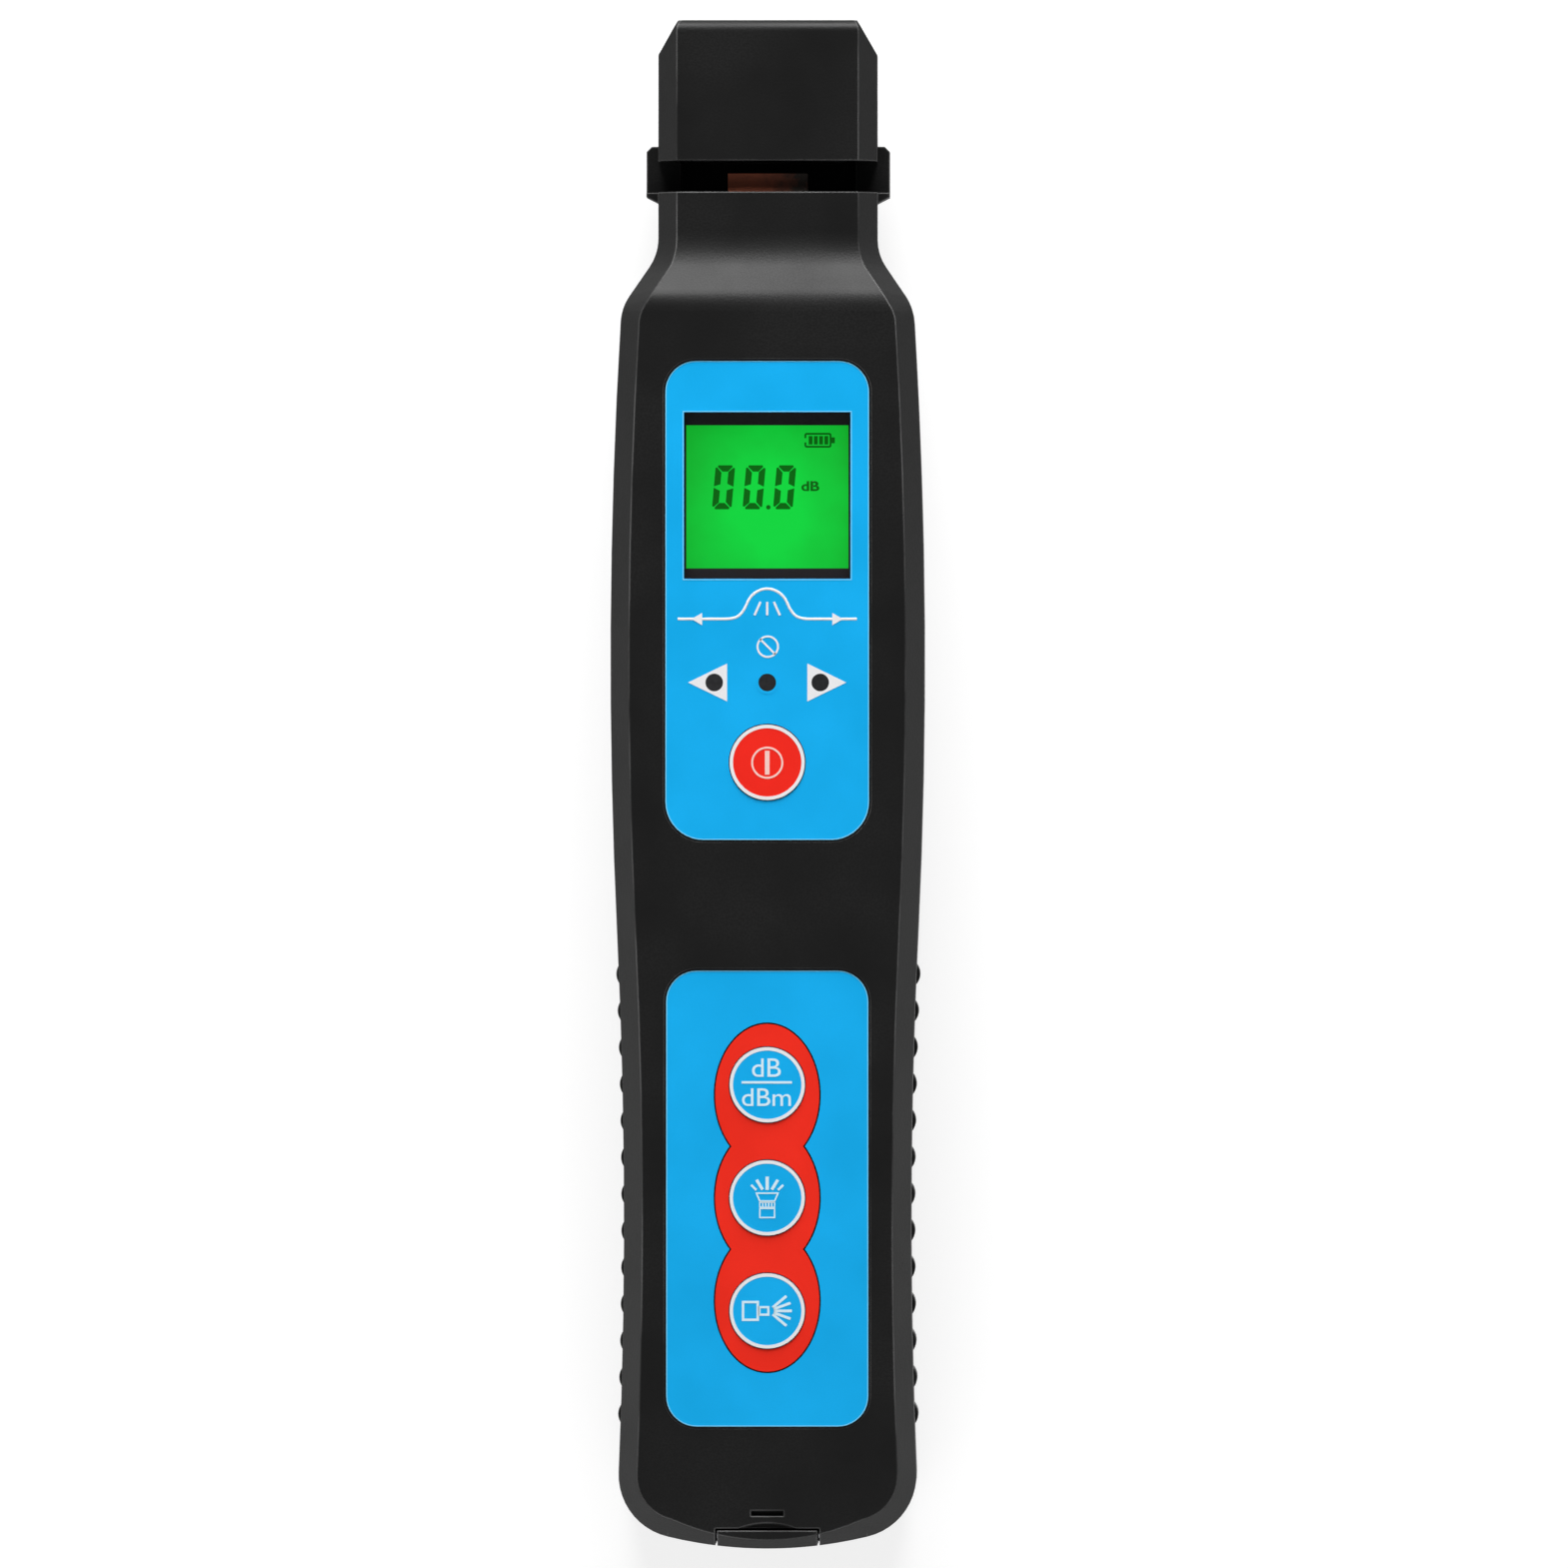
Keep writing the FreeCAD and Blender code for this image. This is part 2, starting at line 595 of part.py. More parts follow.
def arc(centre, radius, start, end):
    """Circular arc that turns from start to end against the clock."""
    first = math.atan2(start[1] - centre[1], start[0] - centre[0])
    last = math.atan2(end[1] - centre[1], end[0] - centre[0])
    circle = Part.Circle(Vector(*centre, 0), Vector(0, 0, 1), radius)
    return Part.ArcOfCircle(circle, first, last)


def line(start, end):
    """Straight sketch line between two plane points."""
    return Part.LineSegment(Vector(*start, 0), Vector(*end, 0))


def towards(start, end, distance):
    """Point at a distance from start on the way to end."""
    span = math.dist(start, end)
    return tuple(a + (b - a) * distance / span for a, b in zip(start, end))


def shifted(start, direction, distance):
    """Point at a signed distance from start along a unit direction."""
    return start[0] + direction[0] * distance, start[1] + direction[1] * distance


def corner_centre(tail, waist):
    """Centre of the tail corner, inside the tail arc and outside the waist arc."""
    near = number("tail_radius") - number("corner_radius")
    far = number("waist_radius") + number("corner_radius")
    span = math.dist(tail, waist)
    along = (span ** 2 + near ** 2 - far ** 2) / (2 * span)
    off = math.sqrt(near ** 2 - along ** 2)
    unit = towards((0, 0), (waist[0] - tail[0], waist[1] - tail[1]), 1)
    return tail[0] + along * unit[0] + off * unit[1], tail[1] + along * unit[1] - off * unit[0]


def shoulder_centre(neck, belly, out, down):
    """Centre of the shoulder curve, inside the belly arc and beside the slope."""
    base = shifted(neck, out, -number("neck_fillet") - number("shoulder_round"))
    reach = (base[0] - belly[0], base[1] - belly[1])
    half = reach[0] * down[0] + reach[1] * down[1]
    rest = reach[0] ** 2 + reach[1] ** 2 - (number("belly_radius") - number("shoulder_round")) ** 2
    return shifted(base, down, -half + math.sqrt(half ** 2 - rest))


def half_outline(body, name, inset, lift, ends):
    """Right half of the plan outline: tail, waist, belly, shoulder, neck, then the corners in ends."""
    skin = 0.0 if inset == "0" else number(inset)
    tail = (0.0, number("tail_y") + number("tail_radius"))
    waist = (number("waist_half") + number("waist_radius"), number("waist_y"))
    belly = (number("belly_width") / 2 - number("belly_radius"), number("belly_y"))
    neck = (number("neck_width") / 2 + number("neck_fillet"), number("neck_fillet_y"))
    lean = math.radians(number("shoulder_angle"))
    out = (math.cos(lean), math.sin(lean))
    down = (math.sin(lean), -math.cos(lean))
    corner = corner_centre(tail, waist)
    turn = shoulder_centre(neck, belly, out, down)
    tail_r = number("tail_radius") - skin
    corner_r = number("corner_radius") - skin
    waist_r = number("waist_radius") + skin
    belly_r = number("belly_radius") - skin
    turn_r = number("shoulder_round") - skin
    neck_r = number("neck_fillet") + skin
    tail_end = (0.0, number("tail_y") + skin)
    tail_join = towards(tail, corner, tail_r)
    waist_join = towards(corner, waist, corner_r)
    belly_join = towards(belly, waist, belly_r)
    turn_join = towards(belly, turn, belly_r)
    slope_low = shifted(turn, out, turn_r)
    slope_high = shifted(neck, out, -neck_r)
    neck_low = shifted(neck, (1.0, 0.0), -neck_r)
    spots = [shifted(neck_low, (-0.1 * step, 1.0), 1.0 + step) for step in range(len(ends))]
    sketch = new_sketch(body, name, "XY_Plane", lift)
    sketch.addGeometry([
        arc(tail, tail_r, tail_end, tail_join),
        arc(corner, corner_r, tail_join, waist_join),
        arc(waist, waist_r, belly_join, waist_join),
        arc(belly, belly_r, belly_join, turn_join),
        arc(turn, turn_r, turn_join, slope_low),
        line(slope_low, slope_high),
        arc(neck, neck_r, neck_low, slope_high),
    ])
    chain = [neck_low] + spots
    first_line = sketch.GeometryCount
    for start, end in zip(chain, chain[1:] + [tail_end]):
        sketch.addGeometry(line(start, end))
    last_line = sketch.GeometryCount - 1
    for first, first_end, second, second_end in (
        (0, END, 1, START), (1, END, 2, END), (2, START, 3, START), (3, END, 4, START),
        (4, END, 5, START), (5, END, 6, END), (6, START, first_line, START),
    ):
        sketch.addConstraint(Sketcher.Constraint("Tangent", first, first_end, second, second_end))
    for index in range(first_line, last_line):
        sketch.addConstraint(Sketcher.Constraint("Coincident", index, END, index + 1, START))
    sketch.addConstraint(Sketcher.Constraint("Coincident", last_line, END, 0, START))
    sketch.addConstraint(Sketcher.Constraint("PointOnObject", 0, START, V_AXIS))
    sketch.addConstraint(Sketcher.Constraint("PointOnObject", 0, CENTRE, V_AXIS))
    sketch.addConstraint(Sketcher.Constraint("Vertical", first_line))
    tie(sketch, "tail_place", f"tail_y + {inset}", "DistanceY", 0, START, tail_end[1])
    tie(sketch, "tail_arc", f"tail_radius - {inset}", "Radius", 0, tail_r)
    tie(sketch, "corner_arc", f"corner_radius - {inset}", "Radius", 1, corner_r)
    tie(sketch, "waist_side", "waist_half + waist_radius", "DistanceX", 2, CENTRE, waist[0])
    tie(sketch, "waist_place", "waist_y", "DistanceY", 2, CENTRE, waist[1])
    tie(sketch, "belly_side", "belly_width / 2 - belly_radius", "DistanceX", 3, CENTRE, belly[0])
    tie(sketch, "belly_place", "belly_y", "DistanceY", 3, CENTRE, belly[1])
    tie(sketch, "belly_arc", f"belly_radius - {inset}", "Radius", 3, belly_r)
    tie(sketch, "turn_arc", f"shoulder_round - {inset}", "Radius", 4, turn_r)
    tie(sketch, "lean", "(90 + shoulder_angle) * 1 deg", "Angle", 5, math.pi / 2 + lean)
    tie(sketch, "neck_side", "neck_width / 2 + neck_fillet", "DistanceX", 6, CENTRE, neck[0])
    tie(sketch, "neck_place", "neck_fillet_y", "DistanceY", 6, CENTRE, neck[1])
    tie(sketch, "neck_arc", f"neck_fillet + {inset}", "Radius", 6, neck_r)
    for index, (across, along) in enumerate(ends):
        corner_line = first_line + index
        tie(sketch, f"end_along{index}", along, "DistanceY", corner_line, END, spots[index][1])
        if across == "0":
            sketch.addConstraint(Sketcher.Constraint("PointOnObject", corner_line, END, V_AXIS))
        elif index:
            tie(sketch, f"end_across{index}", across, "DistanceX", corner_line, END, spots[index][0])
    return sketch


def half_ramp(body, name, side, skin, levels, span, radii):
    """Cut the half body down from one level to another along a slope with rounded ends.

    The side is 1 for the front and -1 for the back, levels are body, neck and outside.
    """
    rounding = f"{radii[0]} - {skin}"
    hollow = f"{radii[1]} + {skin}"
    thick = 0.0 if skin == "0" else number(skin)
    round_r = number(radii[0]) - thick
    hollow_r = number(radii[1]) + thick
    body_z = number(levels[0]) - side * thick if levels[0] != "0" else -side * thick
    neck_z = number(levels[1]) - side * thick
    low = (number(span[0]), body_z - side * round_r)
    high = (number(span[1]), neck_z + side * hollow_r)
    unit = towards((0, 0), (high[0] - low[0], high[1] - low[1]), 1)
    share = (round_r + hollow_r) / math.dist(low, high)
    rest = side * math.sqrt(1 - share ** 2)
    normal = (share * unit[0] - rest * unit[1], share * unit[1] + rest * unit[0])
    edge = (low[0], body_z)
    upper = shifted(low, normal, round_r)
    lower = shifted(high, normal, -hollow_r)
    foot = (high[0], neck_z)
    far = (number("top_y"), neck_z)
    out_z = body_z + side * number("body_depth")
    sketch = new_sketch(body, f"{name}Outline", "YZ_Plane")
    turns = ((upper, edge), (lower, foot)) if side > 0 else ((edge, upper), (foot, lower))
    sketch.addGeometry([
        arc(low, round_r, *turns[0]),
        line(upper, lower),
        arc(high, hollow_r, *turns[1]),
        line(foot, far),
        line(far, (far[0], out_z)),
        line((far[0], out_z), (edge[0], out_z)),
        line((edge[0], out_z), edge),
    ])
    near, away = (START, END) if side > 0 else (END, START)
    for first, first_end, second, second_end in ((0, near, 1, START), (1, END, 2, near), (2, away, 3, START)):
        sketch.addConstraint(Sketcher.Constraint("Tangent", first, first_end, second, second_end))
    for index in (3, 4, 5):
        sketch.addConstraint(Sketcher.Constraint("Coincident", index, END, index + 1, START))
    sketch.addConstraint(Sketcher.Constraint("Coincident", 6, END, 0, away))
    for index in (3, 5):
        sketch.addConstraint(Sketcher.Constraint("Horizontal", index))
    for index in (4, 6):
        sketch.addConstraint(Sketcher.Constraint("Vertical", index))
    sign = "-" if side > 0 else "+"
    tie(sketch, "low_place", span[0], "DistanceX", 0, CENTRE, low[0])
    tie(sketch, "edge_place", span[0], "DistanceX", 0, away, low[0])
    tie(sketch, "high_place", span[1], "DistanceX", 2, CENTRE, high[0])
    tie(sketch, "round_arc", rounding, "Radius", 0, round_r)
    tie(sketch, "hollow_arc", hollow, "Radius", 2, hollow_r)
    tie(sketch, "body_level", f"{levels[0]} {sign} {skin}", "DistanceY", 0, away, body_z)
    tie(sketch, "neck_level", f"{levels[1]} {sign} {skin}", "DistanceY", 3, END, neck_z)
    tie(sketch, "far_place", "top_y", "DistanceX", 4, END, far[0])
    tie(sketch, "out_level", levels[2], "DistanceY", 5, END, out_z)
    feature = body.newObject("PartDesign::Pocket", name)
    feature.Profile = sketch
    feature.Type = "ThroughAll"
    feature.SideType = "Symmetric"
    doc.recompute()


def whole(name, half):
    """Full form made of a half and its mirror image."""
    return fuse(name, *twin(half))


def front_half(name, inset, skin, top):
    """Right half of the front form, or of its hollow when it is inset."""
    body = doc.addObject("PartDesign::Body", name)
    ends = (("neck_width / 2", "neck_y"), ("0", "neck_y"))
    sketch = half_outline(body, f"{name}Plan", inset, "parting_height", ends)
    pad(body, sketch, f"{name}Pad", f"{top} - parting_height")
    doc.recompute()
    levels = ("body_depth", "neck_front_z", "body_depth + wall")
    half_ramp(body, f"{name}Ramp", 1, skin, levels, ("ramp_low_y", "ramp_high_y"), ("ramp_round", "ramp_fillet"))
    return body


def seam_half(name):
    """Right half of the core that the shadow gap along the joint leaves standing."""
    body = doc.addObject("PartDesign::Body", name)
    ends = (("neck_width / 2", "neck_y"), ("0", "neck_y"))
    sketch = half_outline(body, f"{name}Plan", "seam_inset", "parting_height", ends)
    pad(body, sketch, f"{name}Pad", "seam_height")
    doc.recompute()
    return body


def rear_half(name, inset, skin, base, ends):
    """Right half of the rear form, or of its hollow when it is inset."""
    body = doc.addObject("PartDesign::Body", name)
    sketch = half_outline(body, f"{name}Plan", inset, base, ends)
    pad(body, sketch, f"{name}Pad", f"parting_height - {base}")
    doc.recompute()
    span = ("recess_low_y", "recess_high_y")
    levels = ("0", "recess_depth", "-wall")
    half_ramp(body, f"{name}Recess", -1, skin, levels, span, ("recess_round", "recess_fillet"))
    return body


def outside(normal):
    """Whether an upright face is part of the outer side of a half form."""
    return normal.x > -0.5 and normal.y < 0.99


def piece(label, thing):
    """Name a finished piece; the name is also that of its file."""
    thing.Label = label
    PIECES.append(thing)
    return thing


def plate(name, half, along, base, thickness, foot="", corner=""):
    """Flat plate with rounded lower and upper corners."""
    points = ((f"-({half})", along[0]), (half, along[0]), (half, along[1]), (f"-({half})", along[1]))
    body = prism(name, points, base, thickness)
    doc.recompute()
    middle = body.Shape.BoundBox.Center.y
    if foot:
        fillet(body, f"{name}Foot", uprights(body.Shape, lambda spot: spot.y < middle), foot)
    if corner:
        fillet(body, f"{name}Corner", uprights(body.Shape, lambda spot: spot.y > middle), corner)
    return body


def screws(label, places, seat, sizes, drive_out):
    """Group of screws pointing to +Z with their heads below the seat.

    The sizes are shank radius, shank length, head radius and head height.
    """
    shank, length, head, cap = sizes
    parts = []
    for index, (across, along) in enumerate(places):
        name = f"{label.title().replace('_', '')}{index}"
        solid = fuse(
            f"{name}Blank",
            rod(f"{name}Shank", "Z", (across, along), (seat, f"{seat} + {length}"), shank),
            rod(f"{name}Head", "Z", (across, along), (f"{seat} - {cap}", seat), head),
        )
        drive = doc.addObject("Part::Prism", f"{name}Drive")
        bind(drive, {
            "Placement.Base.x": across,
            "Placement.Base.y": along,
            "Placement.Base.z": f"{seat} - {cap}",
            "Circumradius": f"socket_radius * {drive_out}",
            "Height": "socket_depth",
        })
        parts.append(cut(name, solid, drive))
    return piece(label, fuse(f"{label.title().replace('_', '')}Group", *parts))


def key(label, name, along):
    """Round key cap with the flange that keeps it inside the shell."""
    body = turned(name, (
        ("0", "key_z"),
        ("key_flange_radius", "key_z"),
        ("key_flange_radius", "key_z + key_flange_height"),
        ("key_radius", "key_z + key_flange_height"),
        ("key_radius", "key_top_z - key_edge"),
        ("key_radius - key_edge", "key_top_z"),
        ("0", "key_top_z"),
    ))
    bind(body, {"Placement.Base.y": along})
    return piece(label, body)


def lamp(label, name, across):
    """Indicator lamp: a light guide, flush with the overlay, on the foot of its diode."""
    foot_top = "board_top_z + lamp_base_height"
    foot = rod(f"{name}Foot", "Z", (across, "lamp_y"), ("board_top_z", foot_top), "lamp_base_radius")
    guide = rod(f"{name}Guide", "Z", (across, "lamp_y"), (foot_top, "overlay_z"), "lamp_radius")
    return piece(label, fuse(name, foot, guide))


def lobes(name, grow):
    """Three overlapping ellipses around the lower keys, as tall as an overlay."""
    parts = []
    for index, along in enumerate(("torch_key_y + lobe_pitch", "torch_key_y", "torch_key_y - lobe_pitch")):
        ring = doc.addObject("Part::Ellipse", f"{name}Ring{index}")
        ring.Placement = FreeCAD.Placement(Vector(), Rotation(Vector(0, 0, 1), 90))
        bind(ring, {
            "MajorRadius": f"lobe_along + {grow}",
            "MinorRadius": f"lobe_across + {grow}",
            "Placement.Base.y": along,
            "Placement.Base.z": "panel_z",
        })
        lobe = doc.addObject("Part::Extrusion", f"{name}Lobe{index}")
        lobe.Base = ring
        lobe.DirMode = "Custom"
        lobe.Dir = Vector(0, 0, 1)
        lobe.Solid = True
        bind(lobe, {"LengthFwd": "overlay_thickness"})
        parts.append(lobe)
    return fuse(name, *parts)


fill_sheet()

# Outer forms and hollows of the two shells

front_body = front_half("FrontHalf", "0", "0", "body_depth")
bevel(front_body, "FrontBevel", rim(front_body.Shape, 1, outside))
bevel_span = ("body_depth - bevel_depth", "body_depth")
crown_stock = common(
    "CrownStock",
    rod("CrownDisc", "Z", ("0", "tail_y + tail_radius"), bevel_span, "tail_radius"),
    cone("CrownCone", ("0", "tail_y + crown_inset + crown_radius"), bevel_span,
         ("crown_radius + bevel_width", "crown_radius")),
)
crown_span = slab("CrownSpan", both("crown_half"), ("tail_y - wall", "tail_y + 2 * bevel_depth"), bevel_span)
front_form = fuse("FrontForm", whole("FrontSides", front_body), common("TailCrown", crown_stock, crown_span))
front_hollow = whole("FrontHollow", front_half("FrontHollowHalf", "side_wall", "wall", "roof_z"))

rear_ends = (
    ("neck_width / 2", "top_y - head_chamfer_rise"),
    ("neck_width / 2 - head_chamfer_side", "top_y"),
    ("0", "top_y"),
)
rear_body = rear_half("RearHalf", "0", "0", "0", rear_ends)
fillet(rear_body, "RearRound", rim(rear_body.Shape, -1, outside), "back_round")
rear_form = whole("RearForm", rear_body)
rear_inner_ends = (("chamber_half", "head_y"), ("0", "head_y"))
rear_hollow = whole("RearHollow", rear_half("RearHollowHalf", "side_wall", "wall", "wall", rear_inner_ends))

# Tools shared by both shells

notch = fuse(
    "FlapNotch",
    slab("NotchLow", both("flap_half + running_gap"), ("tail_y - wall", "hinge_y"),
         ("hinge_height - knuckle_radius - running_gap", "body_depth")),
    slab("NotchPlate", both("flap_half + running_gap"), ("tail_y - wall", "port_y"),
         ("hinge_height", "body_depth + wall")),
    slab("NotchHead", both("flap_half + running_gap"), ("tail_y - wall", "tail_y + flap_head + running_gap"),
         ("flap_step_z - running_gap", "body_depth + wall")),
    rod("NotchKnuckle", "X", ("hinge_y", "hinge_height"), both("flap_half + running_gap"),
        "knuckle_radius + running_gap"),
)
tail_bosses = (("-tail_boss_out", "tail_boss_y"), ("tail_boss_out", "tail_boss_y"))
shoulder_bosses = (("-shoulder_boss_out", "shoulder_boss_y"), ("shoulder_boss_out", "shoulder_boss_y"))
head_bosses = (("-head_boss_out", "head_boss_y"), ("head_boss_out", "head_boss_y"))
case_bosses = tail_bosses + shoulder_bosses
board_posts = (
    ("-standoff_out", "standoff_low_y"),
    ("standoff_out", "standoff_low_y"),
    ("-standoff_out", "standoff_high_y"),
    ("standoff_out", "standoff_high_y"),
)
key_rows = ("power_y", "unit_y", "torch_key_y", "beam_y")
lamp_columns = ("-lamp_pitch", "0", "lamp_pitch")
upper_span = ("upper_bottom_y", "upper_top_y")
lower_span = ("lower_bottom_y", "lower_top_y")

# Front shell

ear_points = (
    ("-neck_width / 2", "neck_y - collar_below"),
    ("neck_width / 2", "neck_y - collar_below"),
    ("collar_width / 2", "neck_y - collar_below + collar_slope"),
    ("collar_width / 2", "neck_y"),
    ("-collar_width / 2", "neck_y"),
    ("-collar_width / 2", "neck_y - collar_below + collar_slope"),
)
front_blank = cut(
    "FrontBlank",
    fuse("FrontOuter", front_form, prism("FrontEars", ear_points, "parting_height", "ear_height")),
    front_hollow,
)
front_adds = [slab("FrontTailBlock", both("port_block_half"), ("tail_y + flap_thickness", "tail_y + latch_at + wall"),
                   ("parting_height", "roof_z + fit_gap"))]
for index, place in enumerate(case_bosses):
    front_adds.append(rod(f"FrontBoss{index}", "Z", place, ("parting_height", "roof_z + fit_gap"), "boss_radius"))
for index, place in enumerate(board_posts):
    front_adds.append(rod(f"BoardPost{index}", "Z", place, ("board_top_z", "roof_z + fit_gap"), "standoff_radius"))
nail_span = ("body_depth - nail_depth", "body_depth + wall")
nail_scoop = common(
    "NailScoop",
    rod("NailRound", "Z", ("0", "nail_y - nail_radius"), nail_span, "nail_radius"),
    slab("NailSpan", both("nail_half"), ("tail_y", "nail_y + wall"), nail_span),
)
seam = cut(
    "Seam",
    slab("SeamLayer", both("belly_width"), ("tail_y - wall", "neck_y + wall"),
         ("parting_height", "parting_height + seam_height")),
    whole("SeamCore", seam_half("SeamHalf")),
)
front_cuts = [
    seam,
    nail_scoop,
    plate("UpperPocket", "upper_panel_width / 2 + overlay_gap",
          ("upper_bottom_y - overlay_gap", "upper_top_y + overlay_gap"), "panel_z", "wall",
          "upper_panel_foot + overlay_gap", "upper_panel_corner + overlay_gap"),
    plate("LowerPocket", "lower_panel_width / 2 + overlay_gap",
          ("lower_bottom_y - overlay_gap", "lower_top_y + overlay_gap"), "panel_z", "wall",
          "lower_panel_corner + overlay_gap", "lower_panel_corner + overlay_gap"),
    slab("ScreenHole", both("screen_half"), ("screen_y", "screen_top_y"), ("lcd_z", "body_depth")),
    slab("LatchSlot", both("latch_width / 2"), ("tail_y + latch_at", "tail_y + latch_at + latch_height"),
         ("body_depth - latch_depth", "body_depth + wall")),
    notch,
]
for index, along in enumerate(key_rows):
    front_cuts.append(rod(f"KeyHole{index}", "Z", ("0", along), ("board_top_z", "body_depth"), "key_hole_radius"))
for index, across in enumerate(lamp_columns):
    front_cuts.append(rod(f"LampHole{index}", "Z", (across, "lamp_y"), ("board_top_z", "body_depth"),
                          "lamp_radius + fit_gap"))
for index, place in enumerate(case_bosses):
    front_cuts.append(rod(f"FrontThread{index}", "Z", place, ("parting_height", "roof_z - wall"),
                          "screw_radius + screw_play"))
for index, place in enumerate(board_posts):
    front_cuts.append(rod(f"PostThread{index}", "Z", place, ("board_top_z", "roof_z"),
                          "board_screw_radius + screw_play"))
piece("front_shell", cut("FrontShell", fuse("FrontBuilt", front_blank, *front_adds), *front_cuts))

# Rear shell

collar_points = (
    ("-neck_width / 2", "neck_y - collar_below"),
    ("neck_width / 2", "neck_y - collar_below"),
    ("collar_width / 2", "neck_y - collar_below + collar_slope"),
    ("collar_width / 2", "head_y + collar_above - collar_corner"),
    ("collar_width / 2 - collar_corner", "head_y + collar_above"),
    ("-collar_width / 2 + collar_corner", "head_y + collar_above"),
    ("-collar_width / 2", "head_y + collar_above - collar_corner"),
    ("-collar_width / 2", "neck_y - collar_below + collar_slope"),
)
collar = prism("Collar", collar_points, "recess_depth + collar_back", "parting_height - recess_depth - collar_back")
rear_outer = [rear_form, collar]
for index in range(int(number("grip_count"))):
    along = f"(tail_y + grip_at + {index} * grip_pitch)"
    side = f"waist_half + waist_radius - sqrt(waist_radius^2 - ({along} - waist_y)^2)"
    rib = rod(f"Grip{index}", "Z", (f"{side} + grip_proud - grip_radius", along),
              ("back_round", "parting_height"), "grip_radius")
    rear_outer.extend(twin(rib))
rear_blank = cut("RearBlank", fuse("RearOuter", *rear_outer), rear_hollow)
cradle_span = ("laser_y + rib_thickness", "laser_end_y - rib_thickness")
rear_adds = [
    slab("PortBlock", both("port_block_half"), ("tail_y + side_wall - fit_gap", "tail_y + port_block_depth"),
         ("wall - fit_gap", "parting_height")),
    slab("CradleLow", both("cradle_half"), (cradle_span[0], f"{cradle_span[0]} + rib_thickness"),
         ("wall - fit_gap", "port_height")),
    slab("CradleHigh", both("cradle_half"), (f"{cradle_span[1]} - rib_thickness", cradle_span[1]),
         ("wall - fit_gap", "port_height")),
    slab("BayRibLow", both("bay_half"), ("bay_y - rib_thickness", "bay_y"), ("wall - fit_gap", "parting_height")),
    slab("BayRibHigh", both("bay_half"), ("bay_end_y", "bay_end_y + rib_thickness"),
         ("wall - fit_gap", "parting_height")),
    slab("SpringWall", both("slider_half + running_gap"), ("spring_y - wall", "spring_y"),
         ("wall - fit_gap", "parting_height")),
    rod("SpringSpigot", "Y", ("0", "spring_height"), ("spring_y - fit_gap", "spring_y + spigot_length"),
        "spigot_radius"),
]
rear_adds.extend(twin(slab(
    "GuideRib", ("slider_half + running_gap", "slider_half + running_gap + rib_thickness"),
    ("slider_y", "slider_top_y"), ("recess_floor_z - fit_gap", "recess_floor_z + guide_height"))))
for index, place in enumerate(tail_bosses):
    rear_adds.append(rod(f"TailBoss{index}", "Z", place, ("wall - fit_gap", "parting_height"), "boss_radius"))
for index, place in enumerate(shoulder_bosses):
    rear_adds.append(rod(f"ShoulderBoss{index}", "Z", place, ("recess_floor_z - fit_gap", "parting_height"),
                         "boss_radius"))
rear_cuts = [
    notch,
    rod("PortHole", "Y", ("0", "port_height"), ("tail_y", "tail_y + port_block_depth"), "port_radius + screw_play"),
    rod("CradleBore", "Y", ("0", "port_height"), ("tail_y + port_block_depth", "laser_end_y"),
        "laser_radius + screw_play"),
    rod("PinBore", "X", ("hinge_y", "hinge_height"), both("pin_half"), "pin_radius + screw_play"),
    slab("BayHole", both("bay_half"), ("bay_y", "bay_end_y"), ("0", "battery_z")),
    slab("BayRebate", both("rebate_half"), ("bay_y - door_lip", "bay_end_y + door_lip"), ("-wall", "rebate_z")),
    slab("StemSlot", both("stem_half + running_gap"),
         ("stem_y - clamp_travel - running_gap", "stem_end_y + running_gap"), ("0", "slider_z")),
    slab("TorchPocket", both("torch_pocket_half"), ("head_y + side_wall", "torch_wall_y"),
         ("recess_floor_z", "parting_height")),
    slab("WireWay", both("wire_half"), ("head_y - wall", "head_y + wall + side_wall"),
         ("torch_height", "parting_height")),
    rod("TorchHole", "Y", ("0", "torch_height"), ("torch_wall_y - fit_gap", "top_y"), "torch_radius + screw_play"),
]
for index, place in enumerate(tail_bosses):
    rear_cuts.append(rod(f"TailSink{index}", "Z", place, ("0", "tail_seat_z"), "screw_head + fit_gap"))
    rear_cuts.append(rod(f"TailBore{index}", "Z", place, ("0", "parting_height"), "screw_bore"))
for index, place in enumerate(shoulder_bosses):
    rear_cuts.append(rod(f"ShoulderSink{index}", "Z", place, ("0", "shoulder_seat_z"), "screw_head + fit_gap"))
    rear_cuts.append(rod(f"ShoulderBore{index}", "Z", place, ("0", "parting_height"), "screw_bore"))
for index, place in enumerate(head_bosses):
    rear_cuts.append(rod(f"HeadSink{index}", "Z", place, ("0", "head_seat_z"), "head_screw_head + fit_gap"))
    rear_cuts.append(rod(f"HeadBore{index}", "Z", place, ("0", "parting_height"), "head_screw_bore"))
piece("rear_shell", cut("RearShell", fuse("RearBuilt", rear_blank, *rear_adds), *rear_cuts))

# Head cover

head_half = "neck_width / 2"
head_points = (
    (f"-{head_half}", "head_y"),
    (head_half, "head_y"),
    (head_half, "top_y"),
    (f"-{head_half}", "top_y"),
)
head_body = prism("HeadForm", head_points, "parting_height", "neck_front_z - parting_height")
doc.recompute()
bevel(head_body, "HeadBevel", rim(head_body.Shape, 1, lambda normal: abs(normal.x) > 0.5))
fillet(head_body, "HeadRound", rim(head_body.Shape, 1, lambda normal: normal.y > 0.99), "head_round")
corner_points = (
    (f"{head_half} - head_chamfer_side", "top_y"),
    (head_half, "top_y - head_chamfer_rise"),
    (f"{head_half} + head_chamfer_side", "top_y - head_chamfer_rise"),
    (f"{head_half} + head_chamfer_side", "top_y + wall"),
    (f"{head_half} - head_chamfer_side", "top_y + wall"),
)
